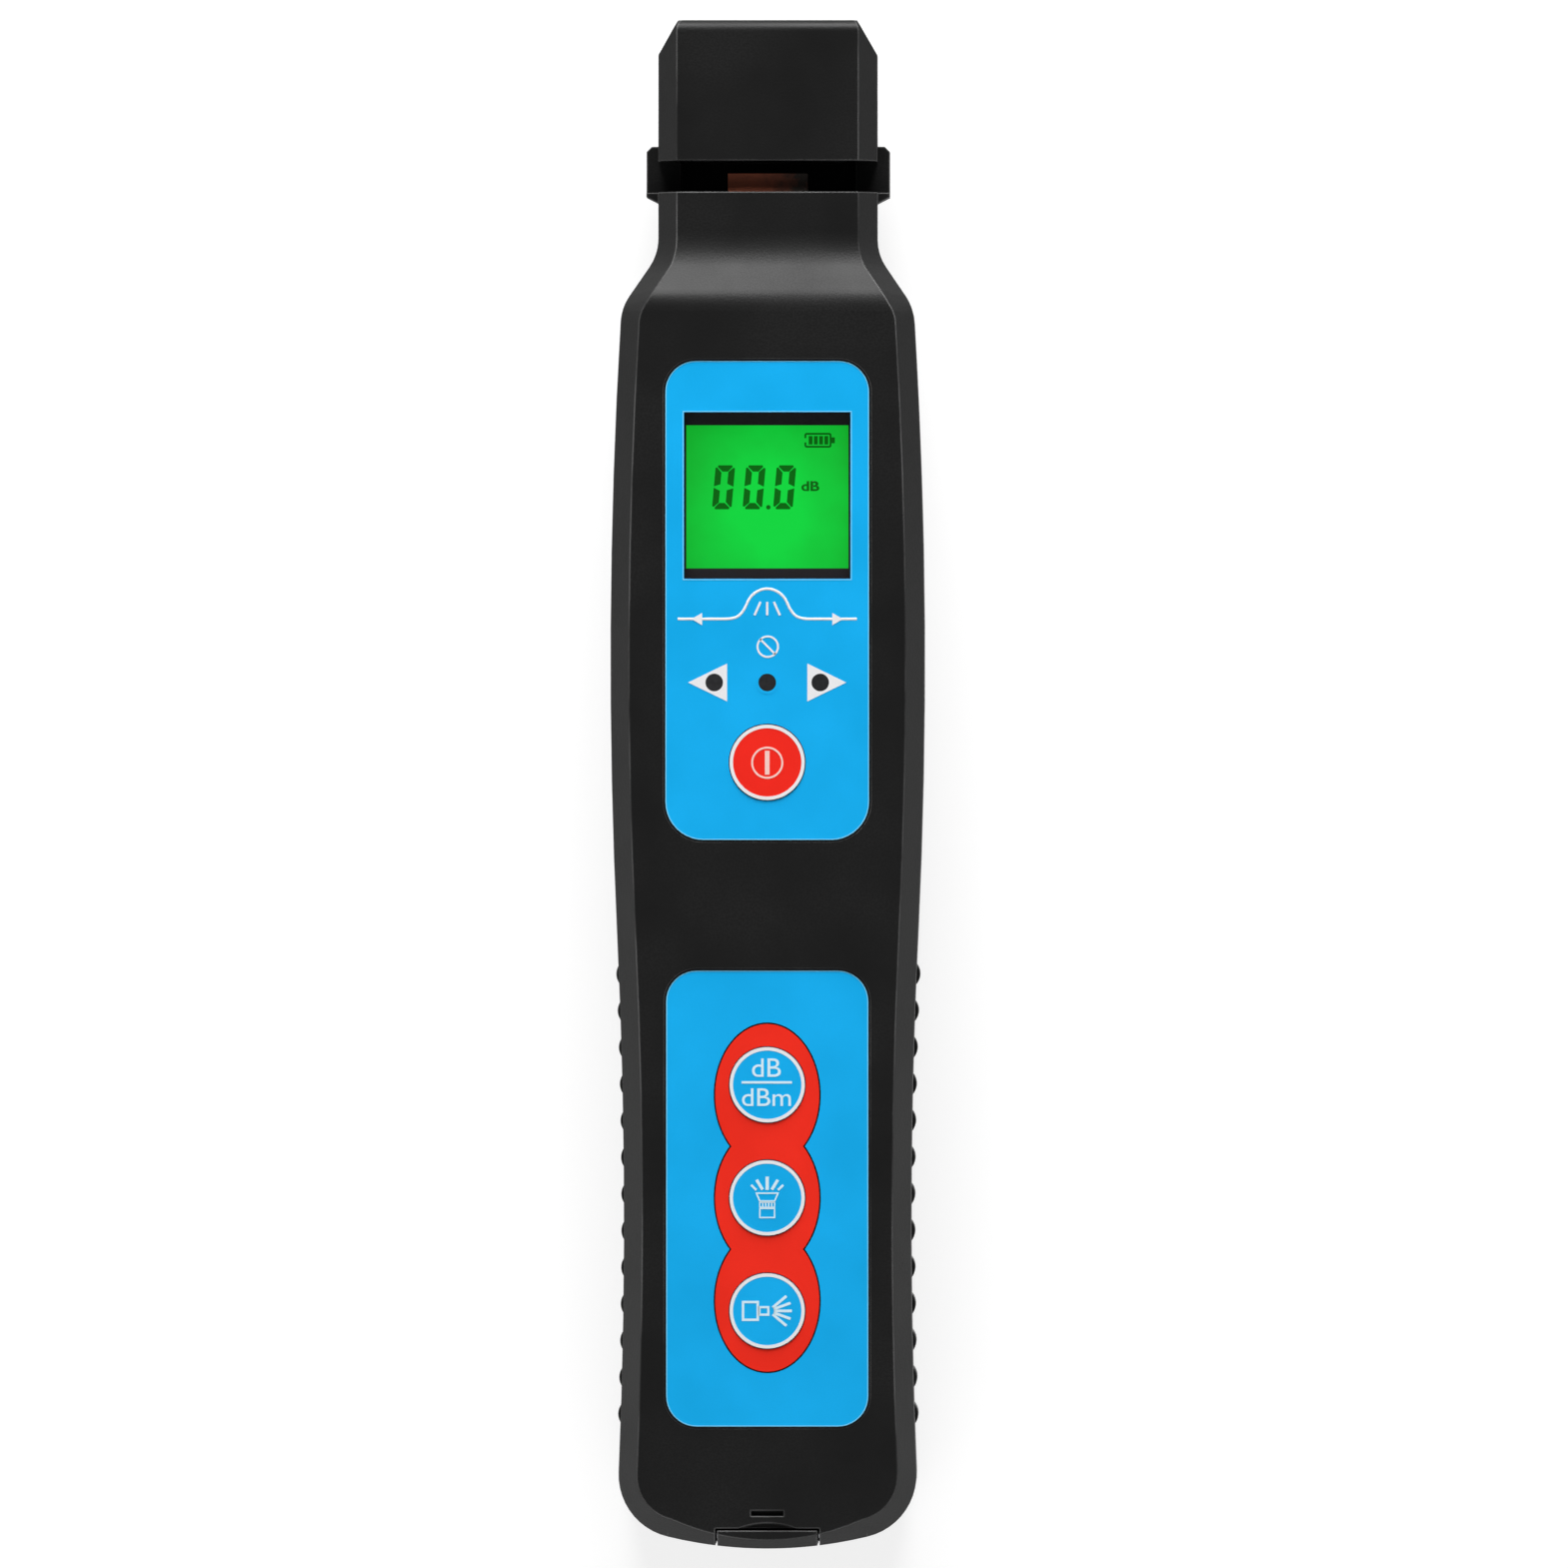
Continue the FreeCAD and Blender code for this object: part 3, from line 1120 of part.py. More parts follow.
head_corners = twin(prism("HeadCorner", corner_points, "parting_height", "neck_front_z - parting_height"))
head_hollow = fuse(
    "HeadHollow",
    slab("HeadRoom", both("chamber_half"), ("head_y + head_lip", "top_y - wall"), ("parting_height", "neck_roof_z")),
    slab("HeadWindow", both("block_half + block_play"), ("head_y", "head_y + wall"),
         ("parting_height", "neck_roof_z")),
)
head_posts = []
head_threads = []
for index, place in enumerate(head_bosses):
    head_posts.append(rod(f"HeadPost{index}", "Z", place, ("parting_height", "neck_roof_z + fit_gap"),
                          "head_boss_radius"))
    head_threads.append(rod(f"HeadThread{index}", "Z", place, ("parting_height", "neck_roof_z"),
                            "head_screw_radius + screw_play"))
head_built = fuse("HeadBuilt", cut("HeadBlank", head_body, head_hollow, *head_corners), *head_posts)
piece("head_cover", cut("HeadCover", head_built, *head_threads))

# Battery door, battery and its connector

door_half = "rebate_half - running_gap"
door_span = ("bay_y - door_lip + running_gap", "bay_end_y + door_lip - running_gap")
door_grooves = []
for index in range(3):
    along = f"{door_span[0]} + {2 + index} * wall"
    door_grooves.append(slab(f"DoorGroove{index}", both("bay_half / 2"), (along, f"{along} + wall / 2"),
                             ("-wall", "door_groove")))
door_blank = fuse(
    "DoorBlank",
    plate("DoorPlate", door_half, door_span, "0", "door_plate", "door_lip", "door_lip"),
    slab("DoorStep", both("bay_half - running_gap"), ("bay_y + running_gap", "bay_end_y - running_gap"),
         ("door_plate", "wall")),
)
piece("battery_door", cut("BatteryDoor", door_blank, *door_grooves))

cell_points = (
    ("-battery_width / 2", "battery_z"),
    ("battery_width / 2", "battery_z"),
    ("battery_width / 2", "battery_z + battery_thickness"),
    ("-battery_width / 2", "battery_z + battery_thickness"),
)
cell = doc.addObject("PartDesign::Body", "Cell")
cell_sketch = new_sketch(cell, "CellOutline", "XZ_Plane", "-battery_end_y")
polygon(cell_sketch, cell_points)
pad(cell, cell_sketch, "CellPad", "battery_length")
doc.recompute()
long_edges = [
    f"Edge{index}" for index, edge in enumerate(cell.Shape.Edges, 1)
    if abs(edge.tangentAt(edge.FirstParameter).y) > 0.999
]
fillet(cell, "CellEdges", long_edges, "battery_edge")
stud_z = "battery_z + battery_thickness / 2"
stud_span = ("battery_end_y", "battery_end_y + stud_height")
piece("battery", fuse(
    "Battery",
    cell,
    rod("MaleStud", "Y", ("-stud_offset", stud_z), stud_span, "male_stud_radius"),
    rod("FemaleStud", "Y", ("stud_offset", stud_z), stud_span, "female_stud_radius"),
))
snap_span = ("snap_y", "snap_y + snap_thickness")
piece("battery_snap", cut(
    "BatterySnap",
    slab("SnapPlate", both("battery_width / 2 - bay_gap"), snap_span,
         ("battery_z + bay_gap", "battery_z + battery_thickness - bay_gap")),
    rod("SnapMale", "Y", ("-stud_offset", stud_z), snap_span, "male_stud_radius + fit_gap"),
    rod("SnapFemale", "Y", ("stud_offset", stud_z), snap_span, "female_stud_radius + fit_gap"),
))

# Overlays, key surround and display

upper_cuts = [slab("ScreenWindow", both("screen_half"), ("screen_y", "screen_top_y"), ("panel_z", "body_depth"))]
for index, across in enumerate(lamp_columns):
    upper_cuts.append(rod(f"UpperLamp{index}", "Z", (across, "lamp_y"), ("panel_z", "body_depth"),
                          "lamp_radius + fit_gap"))
upper_cuts.append(rod("UpperKey", "Z", ("0", "power_y"), ("panel_z", "body_depth"), "key_line_radius"))
piece("upper_overlay", cut(
    "UpperOverlay",
    plate("UpperSheet", "upper_panel_width / 2", upper_span, "panel_z", "overlay_thickness",
          "upper_panel_foot", "upper_panel_corner"),
    *upper_cuts,
))
piece("lower_overlay", cut(
    "LowerOverlay",
    plate("LowerSheet", "lower_panel_width / 2", lower_span, "panel_z", "overlay_thickness",
          "lower_panel_corner", "lower_panel_corner"),
    lobes("LobeHole", "overlay_gap"),
))
surround_cuts = []
for index, along in enumerate(key_rows[1:]):
    surround_cuts.append(rod(f"SurroundKey{index}", "Z", ("0", along), ("panel_z", "body_depth"), "key_line_radius"))
piece("key_surround", cut("KeySurround", lobes("Lobes", "0"), *surround_cuts))
window_half = "screen_half - fit_gap"
window_span = ("screen_y + fit_gap", "screen_top_y - fit_gap")
piece("display_window", slab("DisplayWindow", both(window_half), window_span,
                             ("overlay_z - window_thickness", "overlay_z")))
lcd_span = ("screen_y - lcd_margin", "screen_top_y + lcd_margin")
piece("lcd_module", slab("LcdModule", both("lcd_half"), lcd_span, ("lcd_z", "lcd_z + lcd_thickness")))
piece("backlight", slab("Backlight", both("lcd_half"), lcd_span, ("backlight_z", "backlight_z + backlight_thickness")))
frame_play = "frame_rim + fit_gap"
piece("lcd_frame", cut(
    "LcdFrame",
    slab("FrameBlock", both(f"lcd_half + {frame_play}"),
         (f"{lcd_span[0]} - {frame_play}", f"{lcd_span[1]} + {frame_play}"), ("board_top_z", "lcd_z + lcd_thickness")),
    slab("FrameHole", both("lcd_half + fit_gap"), (f"{lcd_span[0]} - fit_gap", f"{lcd_span[1]} + fit_gap"),
         ("backlight_z - fit_gap", "roof_z")),
    slab("FrameWay", both("screen_half / 2"), ("screen_y", "screen_top_y"), ("board_top_z", "roof_z")),
))

# Circuit board, switches, lamps and keys

board_holes = []
for index, place in enumerate(board_posts):
    board_holes.append(rod(f"BoardHole{index}", "Z", place, ("board_z", "board_top_z"), "board_bore"))
piece("main_board", cut(
    "MainBoard",
    plate("BoardSheet", "board_width / 2", ("board_y", "board_end_y"), "board_z", "board_thickness",
          "door_lip", "door_lip"),
    *board_holes,
))
screws("board_screws", board_posts, "board_z",
       ("board_screw_radius", "board_screw_length", "board_screw_head", "board_screw_cap"), "0.7")
switches = []
for index, along in enumerate(key_rows):
    switches.append(fuse(
        f"Switch{index}",
        slab(f"SwitchBody{index}", both("switch_side / 2"),
             (f"{along} - switch_side / 2", f"{along} + switch_side / 2"),
             ("board_top_z", "board_top_z + switch_height")),
        rod(f"Plunger{index}", "Z", ("0", along), ("board_top_z + switch_height - fit_gap", "plunger_z"),
            "plunger_radius"),
    ))
piece("tact_switches", fuse("TactSwitches", *switches))
for label, name, across in zip(("left_lamp", "centre_lamp", "right_lamp"),
                               ("LeftLamp", "CentreLamp", "RightLamp"), lamp_columns):
    lamp(label, name, across)
for label, name, along in zip(("power_key", "unit_key", "torch_key", "beam_key"),
                              ("PowerKey", "UnitKey", "TorchKey", "BeamKey"), key_rows):
    key(label, name, along)

# Case screws

case_sizes = ("screw_radius", "screw_length", "screw_head", "screw_cap")
screws("tail_screws", tail_bosses, "tail_seat_z", case_sizes, "1")
screws("shoulder_screws", shoulder_bosses, "shoulder_seat_z",
       ("screw_radius", "screw_length - recess_depth", "screw_head", "screw_cap"), "1")
screws("head_screws", head_bosses, "head_seat_z",
       ("head_screw_radius", "head_screw_length", "head_screw_head", "head_screw_cap"), "0.8")

# Tail flap with its pin, laser port and laser module

envelope = fuse("Envelope", front_form, rear_form)
flap_stock = fuse(
    "FlapStock",
    slab("FlapPlate", both("flap_half"), ("tail_y - wall", "tail_y + flap_thickness"),
         ("hinge_height", "body_depth + wall")),
    slab("FlapHead", both("flap_half"), ("tail_y - wall", "tail_y + flap_head"), ("flap_step_z", "body_depth + wall")),
)
flap_body = fuse(
    "FlapBody",
    common("FlapSkin", flap_stock, envelope),
    rod("Knuckle", "X", ("hinge_y", "hinge_height"), both("flap_half"), "knuckle_radius"),
)
piece("tail_flap", cut(
    "TailFlap",
    flap_body,
    rod("KnuckleBore", "X", ("hinge_y", "hinge_height"), both("flap_half"), "pin_radius + pin_play"),
))
piece("flap_pin", rod("FlapPin", "X", ("hinge_y", "hinge_height"), both("pin_half"), "pin_radius"))
port_span = ("port_y", "port_end_y")
piece("laser_port", cut(
    "LaserPort",
    rod("PortBush", "Y", ("0", "port_height"), port_span, "port_radius"),
    rod("PortBore", "Y", ("0", "port_height"), port_span, "port_bore"),
))
laser_step = "laser_end_y - laser_length / 4"
piece("laser_module", fuse(
    "LaserModule",
    rod("LaserBarrel", "Y", ("0", "port_height"), ("laser_y", laser_step), "laser_radius"),
    rod("LaserTail", "Y", ("0", "port_height"), (laser_step, "laser_end_y"), "laser_tail_radius"),
))

# Clamp: trigger, slider, adapter and return spring

slider_blank = fuse(
    "SliderBlank",
    slab("SliderBar", both("slider_half"), ("slider_y", "slider_top_y"), ("slider_z", "slider_top_z")),
    slab("Pedestal", both("slider_half"), ("pedestal_y", "slider_top_y"), ("slider_top_z - fit_gap", "pedestal_z")),
    slab("Tongue", both("tongue_half"), ("slider_top_y - fit_gap", "adapter_y + tongue_rise"),
         ("adapter_z + wall", "adapter_top_z - wall")),
    rod("SliderSpigot", "Y", ("0", "spring_height"), ("slider_y - spigot_length", "slider_y + fit_gap"),
        "spigot_radius"),
)
stem_middle = "stem_y + stem_length / 2"
piece("clamp_slider", cut(
    "ClampSlider",
    slider_blank,
    slab("StemSocket", both("stem_half + fit_gap"), ("stem_y - fit_gap", "stem_end_y + fit_gap"),
         ("slider_z", "stem_top_z")),
    rod("SliderBore", "Z", ("0", stem_middle), ("slider_z", "slider_top_z"), "screw_bore"),
    rod("SliderSink", "Z", ("0", stem_middle), ("slider_top_z - screw_cap", "slider_top_z"), "screw_head + fit_gap"),
))
groove_y = "adapter_top_y + bend_radius - bend_depth"
piece("fibre_adapter", cut(
    "FibreAdapter",
    slab("AdapterBlock", both("adapter_half"), ("adapter_y", "adapter_top_y"), ("adapter_z", "adapter_top_z")),
    rod("BendGroove", "Z", ("0", groove_y), ("adapter_z + adapter_lip", "adapter_top_z - adapter_lip"), "bend_radius"),
    slab("TongueSlot", both("tongue_half + fit_gap"), ("adapter_y", "adapter_y + tongue_rise + fit_gap"),
         ("adapter_z + wall - fit_gap", "adapter_top_z - wall + fit_gap")),
))
trigger_parts = [
    plate("TriggerPlate", "trigger_half", ("trigger_y", "trigger_top_y"), "trigger_z", "trigger_plate",
          "wall", "wall"),
    slab("Stem", both("stem_half"), ("stem_y", "stem_end_y"), ("trigger_top_z - fit_gap", "stem_top_z")),
]
for index in range(int(number("ridge_count"))):
    along = f"trigger_y + trigger_length / 2 + ({index} - (ridge_count - 1) / 2) * ridge_pitch"
    trigger_parts.append(rod(f"Ridge{index}", "X", (along, "trigger_z"), both("trigger_half - wall"), "ridge_radius"))
thread_span = ("trigger_z + trigger_plate / 2", "stem_top_z")
piece("trigger", cut(
    "Trigger",
    fuse("TriggerBlank", *trigger_parts),
    rod("TriggerThread", "Z", ("0", stem_middle), thread_span, "screw_radius + screw_play"),
))
screw_top = "slider_top_z - screw_cap"
clamp_screw = fuse(
    "ClampScrewBlank",
    rod("ClampShank", "Z", ("0", stem_middle), ("trigger_top_z - trigger_plate / 4", screw_top), "screw_radius"),
    rod("ClampHead", "Z", ("0", stem_middle), (screw_top, "slider_top_z"), "screw_head"),
)
clamp_drive = rod("ClampDrive", "Z", ("0", stem_middle), ("slider_top_z - socket_depth", "slider_top_z"),
                  "socket_radius")
piece("trigger_screw", cut("TriggerScrew", clamp_screw, clamp_drive))

coil = doc.addObject("PartDesign::Body", "Coil")
coil_sketch = new_sketch(coil, "CoilWire", "XZ_Plane")
coil_sketch.addGeometry(Part.Circle(Vector(number("spring_radius"), 0, 0), Vector(0, 0, 1), number("spring_wire")))
tie(coil_sketch, "wire", "spring_wire", "Radius", 0, number("spring_wire"))
tie(coil_sketch, "coil", "spring_radius", "DistanceX", 0, CENTRE, number("spring_radius"))
tie(coil_sketch, "foot", "spring_wire + fit_gap", "DistanceY", 0, CENTRE, number("spring_wire"))
helix = coil.newObject("PartDesign::AdditiveHelix", "CoilHelix")
helix.Profile = coil_sketch
helix.ReferenceAxis = (coil_sketch, ["V_Axis"])
helix.Mode = "height-turns-angle"
bind(helix, {"Height": "spring_room - 2 * spring_wire - 2 * fit_gap", "Turns": "spring_turns"})
coil.Placement = FreeCAD.Placement(Vector(), AXIS_TURN["Y"])
bind(coil, {"Placement.Base.y": "spring_y", "Placement.Base.z": "spring_height"})
piece("return_spring", coil)

# Optical block with its detectors, and the torch lamp

tilted = []
for name, sign in (("Left", -1), ("Right", 1)):
    pair = []
    for kind, start, length, radius in (
        ("Bore", "0", "2 * block_length", "detector_radius + screw_play"),
        ("Can", "detector_back", "detector_length", "detector_radius"),
    ):
        can = doc.addObject("Part::Cylinder", f"{name}{kind}")
        tilt = Rotation(Vector(0, 0, 1), -sign * number("detector_tilt"))
        can.Placement = FreeCAD.Placement(Vector(), tilt.multiply(AXIS_TURN["Y"]))
        bind(can, {
            "Placement.Base.x": f"{sign} * (detector_out + ({start}) * sin(detector_tilt * 1 deg))",
            "Placement.Base.y": f"block_y + ({start}) * cos(detector_tilt * 1 deg)",
            "Placement.Base.z": "detector_z",
            "Radius": radius,
            "Height": length,
        })
        pair.append(can)
    tilted.append(pair)
block_blank = slab("BlockBlank", both("block_half"), ("block_y", "block_end_y"), ("block_z", "neck_roof_z"))
piece("optical_block", cut("OpticalBlock", block_blank, tilted[0][0], tilted[1][0]))
piece("left_detector", tilted[0][1])
piece("right_detector", tilted[1][1])
torch_dome = doc.addObject("Part::Sphere", "TorchDome")
bind(torch_dome, {
    "Radius": "torch_radius",
    "Placement.Base.y": "top_y - torch_radius",
    "Placement.Base.z": "torch_height",
})
piece("torch_led", fuse(
    "TorchLed",
    rod("TorchFoot", "Y", ("0", "torch_height"), ("torch_wall_y - torch_flange", "torch_wall_y - fit_gap"),
        "torch_flange_radius"),
    rod("TorchStalk", "Y", ("0", "torch_height"), ("torch_wall_y - torch_flange", "top_y - torch_radius"),
        "torch_radius"),
    torch_dome,
))

doc.recompute()
for thing in doc.Objects:
    if "Invalid" in thing.State or "Error" in thing.State:
        raise RuntimeError(f"{thing.Name} does not build: {thing.State}")
os.makedirs("parts", exist_ok=True)
for thing in PIECES:
    if thing.Shape.isNull() or not thing.Shape.isValid() or not thing.Shape.Solids:
        raise RuntimeError(f"{thing.Label} has no sound solid")
    thing.Shape.exportStep(os.path.join("parts", f"{thing.Label}.step"))
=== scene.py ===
"""Looks of a hand-held live fibre identifier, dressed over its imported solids.

Lengths are in metres, in the frame of the solids: the tester lies on its back, its head
points to +Y and its panel faces +Z.
"""

import logging
import math
from collections.abc import Callable, Sequence
from dataclasses import dataclass
from enum import Enum

import bmesh
import bpy
from bpy.types import Material, Node, NodeSocket, NodeTree, Object
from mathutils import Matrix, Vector


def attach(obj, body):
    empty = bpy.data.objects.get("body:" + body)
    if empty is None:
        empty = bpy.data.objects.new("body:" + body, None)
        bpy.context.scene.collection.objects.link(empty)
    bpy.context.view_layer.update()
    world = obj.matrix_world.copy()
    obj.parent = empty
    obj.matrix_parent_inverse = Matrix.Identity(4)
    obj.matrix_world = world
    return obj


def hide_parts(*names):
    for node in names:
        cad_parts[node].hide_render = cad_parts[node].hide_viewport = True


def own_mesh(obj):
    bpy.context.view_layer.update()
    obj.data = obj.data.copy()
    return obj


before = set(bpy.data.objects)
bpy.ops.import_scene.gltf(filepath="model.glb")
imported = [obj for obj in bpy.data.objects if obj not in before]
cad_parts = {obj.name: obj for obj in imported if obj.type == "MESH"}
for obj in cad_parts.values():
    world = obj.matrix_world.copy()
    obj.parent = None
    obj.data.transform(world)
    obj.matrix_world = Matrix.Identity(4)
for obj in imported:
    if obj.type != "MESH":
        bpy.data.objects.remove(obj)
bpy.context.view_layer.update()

LOG = logging.getLogger("tester")
MADE: dict[str, Material] = {}
MM = 0.001
NOISE = (0.3, 0.7)  # where a noise value mostly lies
WHITE = (1.0, 1.0, 1.0, 1.0)

# Heights above the back and the thickness of print, in millimetres
GLASS_TOP = 27.7
FILM_TOP = 29.95
CASE_TOP = 30.0
KEY_TOP = 30.1
PRINT = 0.03

Colour = tuple[float, float, float, float]
Pair = tuple[float, float]  # two values, such as a low and a high one
Point = tuple[float, float]  # across and along, in millimetres
Stroke = tuple[Point, Point, float]  # two ends and a width
Outline = tuple[Point, Point, float]  # middle, size and width of the line
Place = tuple[float, float, float]
Signal = NodeSocket | float | Colour


def shade(red: float, green: float, blue: float) -> Colour:
    """Turn an 8-bit display colour into a linear one.

    Args:
        red: Red from 0 to 255.
        green: Green from 0 to 255.
        blue: Blue from 0 to 255.

    Returns:
        The linear colour with full alpha.
    """
    parts = [value / 255 for value in (red, green, blue)]
    linear = [part / 12.92 if part <= 0.04045 else ((part + 0.055) / 1.055) ** 2.4 for part in parts]
    return linear[0], linear[1], linear[2], 1.0


def scaled(colour: Colour, share: float) -> Colour:
    """Give a colour that is lighter or darker by a share."""
    return tuple(min(1.0, part * share) for part in colour[:3]) + (1.0,)


def at(across: float, along: float, height: float) -> Place:
    """Give a place in metres from millimetres in the tester's frame."""
    return across * MM, along * MM, height * MM


def metres(*lengths: float) -> tuple[float, ...]:
    """Give lengths in metres from millimetres."""
    return tuple(length * MM for length in lengths)


class Body(Enum):
    """Bodies that the pieces move with."""

    HOUSING = "housing"
    POWER = "power_key"
    UNIT = "unit_key"
    TORCH = "torch_key"
    BEAM = "beam_key"


class KeySign(Enum):
    """Signs printed on the round keys."""

    POWER = "power"
    UNIT = "unit"
    TORCH = "torch"
    BEAM = "beam"


class Wiring:
    """Node tree with short calls to add and join nodes."""

    def __init__(self, tree: NodeTree, place: str) -> None:
        """Start on a tree with one kind of its coordinates."""
        self.tree = tree
        self.place = self.add("ShaderNodeTexCoord").outputs[place]

    def add(self, kind: str, **settings: object) -> Node:
        """Add a node.

        Args:
            kind: Blender's name of the node.
            settings: Values of the node's own properties.

        Returns:
            The new node.
        """
        node = self.tree.nodes.new(kind)
        for key, value in settings.items():
            setattr(node, key, value)
        return node

    def feed(self, node: Node, socket: str | int, value: Signal | Place) -> None:
        """Join a signal to a node's input, or set the input to a constant.

        Args:
            node: The node.
            socket: Name or number of its input.
            value: Another node's output, or a constant.
        """
        if isinstance(value, NodeSocket):
            self.tree.links.new(value, node.inputs[socket])
        else:
            node.inputs[socket].default_value = value

    def axis(self, name: str) -> NodeSocket:
        """Give one part of the coordinates.

        Args:
            name: X, Y or Z.

        Returns:
            Its value.
        """
        node = self.add("ShaderNodeSeparateXYZ")
        self.feed(node, 0, self.place)
        return node.outputs[name]

    def work(self, operation: str, first: Signal, second: Signal) -> NodeSocket:
        """Give the result of a Math node on two values.

        Args:
            operation: Blender's name of the operation.
            first: The first value.
            second: The second value.

        Returns:
            The result.
        """
        node = self.add("ShaderNodeMath", operation=operation)
        self.feed(node, 0, first)
        self.feed(node, 1, second)
        return node.outputs[0]

    def fit(self, value: Signal, low: float, high: float, first: Signal, last: Signal) -> NodeSocket:
        """Map a value from one range to another, clamped.

        Args:
            value: The value.
            low: Start of its range.
            high: End of its range.
            first: What the start becomes.
            last: What the end becomes.

        Returns:
            The mapped value.
        """
        node = self.add("ShaderNodeMapRange")
        for socket, number in enumerate((value, low, high, first, last)):
            self.feed(node, socket, number)
        return node.outputs[0]


class Graph(Wiring):
    """Node tree of one finish."""

    def __init__(self, name: str) -> None:
        """Start a material with its shader and object coordinates.

        Args:
            name: Name of the material.
        """
        self.material = bpy.data.materials.new(name)
        self.material.use_nodes = True
        super().__init__(self.material.node_tree, "Object")
        self.shader = self.tree.nodes["Principled BSDF"]

    def skin(self, **values: Signal) -> None:
        """Set inputs of the shader, named with underscores for spaces."""
        for key, value in values.items():
            self.feed(self.shader, key.replace("_", " "), value)

    def turned(self, scale: Place, shift: Place = (0.0, 0.0, 0.0)) -> NodeSocket:
        """Give object coordinates that are moved and stretched.

        Args:
            scale: Stretch along each axis.
            shift: Move before the stretch.

        Returns:
            The new coordinates.
        """
        moved = self.add("ShaderNodeVectorMath", operation="ADD")
        self.feed(moved, 0, self.place)
        self.feed(moved, 1, shift)
        node = self.add("ShaderNodeVectorMath", operation="MULTIPLY")
        self.feed(node, 0, moved.outputs["Vector"])
        self.feed(node, 1, scale)
        return node.outputs["Vector"]

    def noise(self, size: float, detail: float = 2.0, place: NodeSocket | None = None) -> NodeSocket:
        """Give a soft random pattern.

        Args:
            size: Size of its spots in metres.
            detail: Finer layers in it.
            place: Coordinates, the object's own if left out.

        Returns:
            Its value, about 0.3 to 0.7.
        """
        node = self.add("ShaderNodeTexNoise")
        self.feed(node, "Vector", place or self.place)
        self.feed(node, "Scale", 1.0 / size)
        self.feed(node, "Detail", detail)
        return node.outputs["Fac"]

    def cells(self, size: float) -> NodeSocket:
        """Give the distance to the middles of random cells.

        Args:
            size: Size of the cells in metres.

        Returns:
            The distance, as a share of that size.
        """
        node = self.add("ShaderNodeTexVoronoi")
        self.feed(node, "Vector", self.place)
        self.feed(node, "Scale", 1.0 / size)
        return node.outputs["Distance"]

    def blend(self, share: Signal, first: Signal, second: Signal) -> NodeSocket:
        """Mix two colours.

        Args:
            share: Share of the second colour.
            first: Colour at 0.
            second: Colour at 1.

        Returns:
            The mixed colour.
        """
        node = self.add("ShaderNodeMix", data_type="RGBA")
        self.feed(node, 0, share)
        self.feed(node, 6, first)
        self.feed(node, 7, second)
        return node.outputs[2]

    def rounded(self, radius: float) -> NodeSocket:
        """Give a normal that turns smoothly over edges.

        Args:
            radius: Radius of the rounded look in metres.

        Returns:
            The normal.
        """
        bevel = self.add("ShaderNodeBevel", samples=6)
        self.feed(bevel, "Radius", radius)
        return bevel.outputs[0]

    def edge_wear_and_highlight(self, rounding: float, pattern: NodeSocket) -> NodeSocket:
        """Give a share that rises along edges, for rubbing wear and a painted edge highlight.

        Args:
            rounding: Reach of the wear and of the painted highlight from an edge in metres.
            pattern: Random pattern that breaks the wear and the painted highlight up.

        Returns:
            The share of wear and painted highlight, 0 on flat faces.
        """
        turn = self.add("ShaderNodeVectorMath", operation="DOT_PRODUCT")
        self.feed(turn, 0, self.rounded(rounding))
        self.feed(turn, 1, self.add("ShaderNodeNewGeometry").outputs["Normal"])
        edge = self.fit(turn.outputs["Value"], 0.998, 0.955, 0.0, 0.9)
        return self.work("MULTIPLY", edge, self.fit(pattern, 0.35, 0.6, 0.2, 1.0))

    def relief(self, height: NodeSocket, strength: float, depth: float, rounding: float = 0.0) -> NodeSocket:
        """Give a normal with fine relief, and with rounded edges if asked.

        Args:
            height: Height pattern.
            strength: Share of the relief that shows.
            depth: Height of the relief in metres.
            rounding: Radius of the rounded look of edges in metres.

        Returns:
            The normal.
        """
        node = self.add("ShaderNodeBump")
        self.feed(node, "Strength", strength)
        self.feed(node, "Distance", depth)
        self.feed(node, "Height", height)
        if rounding > 0.0:
            self.feed(node, "Normal", self.rounded(rounding))
        return node.outputs[0]


@dataclass(frozen=True)
class Finish:
    """Surface finish that any piece can take."""

    name: str
    colour: Colour

    def paint(self, graph: Graph) -> None:
        """Build the finish's nodes in a graph."""
        raise NotImplementedError

    def material(self) -> Material:
        """Build the finish's material at its first use.

        Returns:
            The material.
        """
        if self.name not in MADE:
            graph = Graph(self.name)
            self.paint(graph)
            MADE[self.name] = graph.material
        return MADE[self.name]


@dataclass(frozen=True)
class MouldedPlastic(Finish):
    """Moulded plastic with a fine eroded grain and softened edges, lightened by wear and by a painted edge
    highlight.
    """

    roughness: float = 0.45
    specular: float = 0.5
    grain: float = 0.3 * MM
    strength: float = 0.25
    rounding: float = 0.0
    # How much lighter the edges turn: partly wear, partly a painted highlight.
    wear_and_highlight_gain: float = 14.0

    def paint(self, graph: Graph) -> None:
        """Cloud the colour slightly and lay the grain over it.

        Args:
            graph: Node tree of the finish.
        """
        cloud = graph.noise(14 * MM, 3.0)
        grain = graph.noise(self.grain, 2.0)
        dark, light = scaled(self.colour, 0.82), scaled(self.colour, 1.18)
        tone = graph.blend(graph.fit(cloud, 0.35, 0.65, 0.0, 1.0), dark, light)
        speck = graph.blend(graph.fit(grain, 0.4, 0.6, 0.0, 1.0), scaled(self.colour, 0.86), tone)
        # Edges lighten towards a much lighter tone: rubbing wear, plus a painted highlight where the edges
        # would catch the light.
        if self.rounding > 0.0:
            speck = graph.blend(graph.edge_wear_and_highlight(self.rounding, cloud), speck, scaled(self.colour, self.wear_and_highlight_gain))
        low, high = self.roughness - 0.05, self.roughness + 0.05
        graph.skin(
            Base_Color=speck,
            Roughness=graph.fit(cloud, *NOISE, low, high),
            Specular_IOR_Level=self.specular,
            Normal=graph.relief(grain, self.strength, self.grain * 0.25, self.rounding),
        )


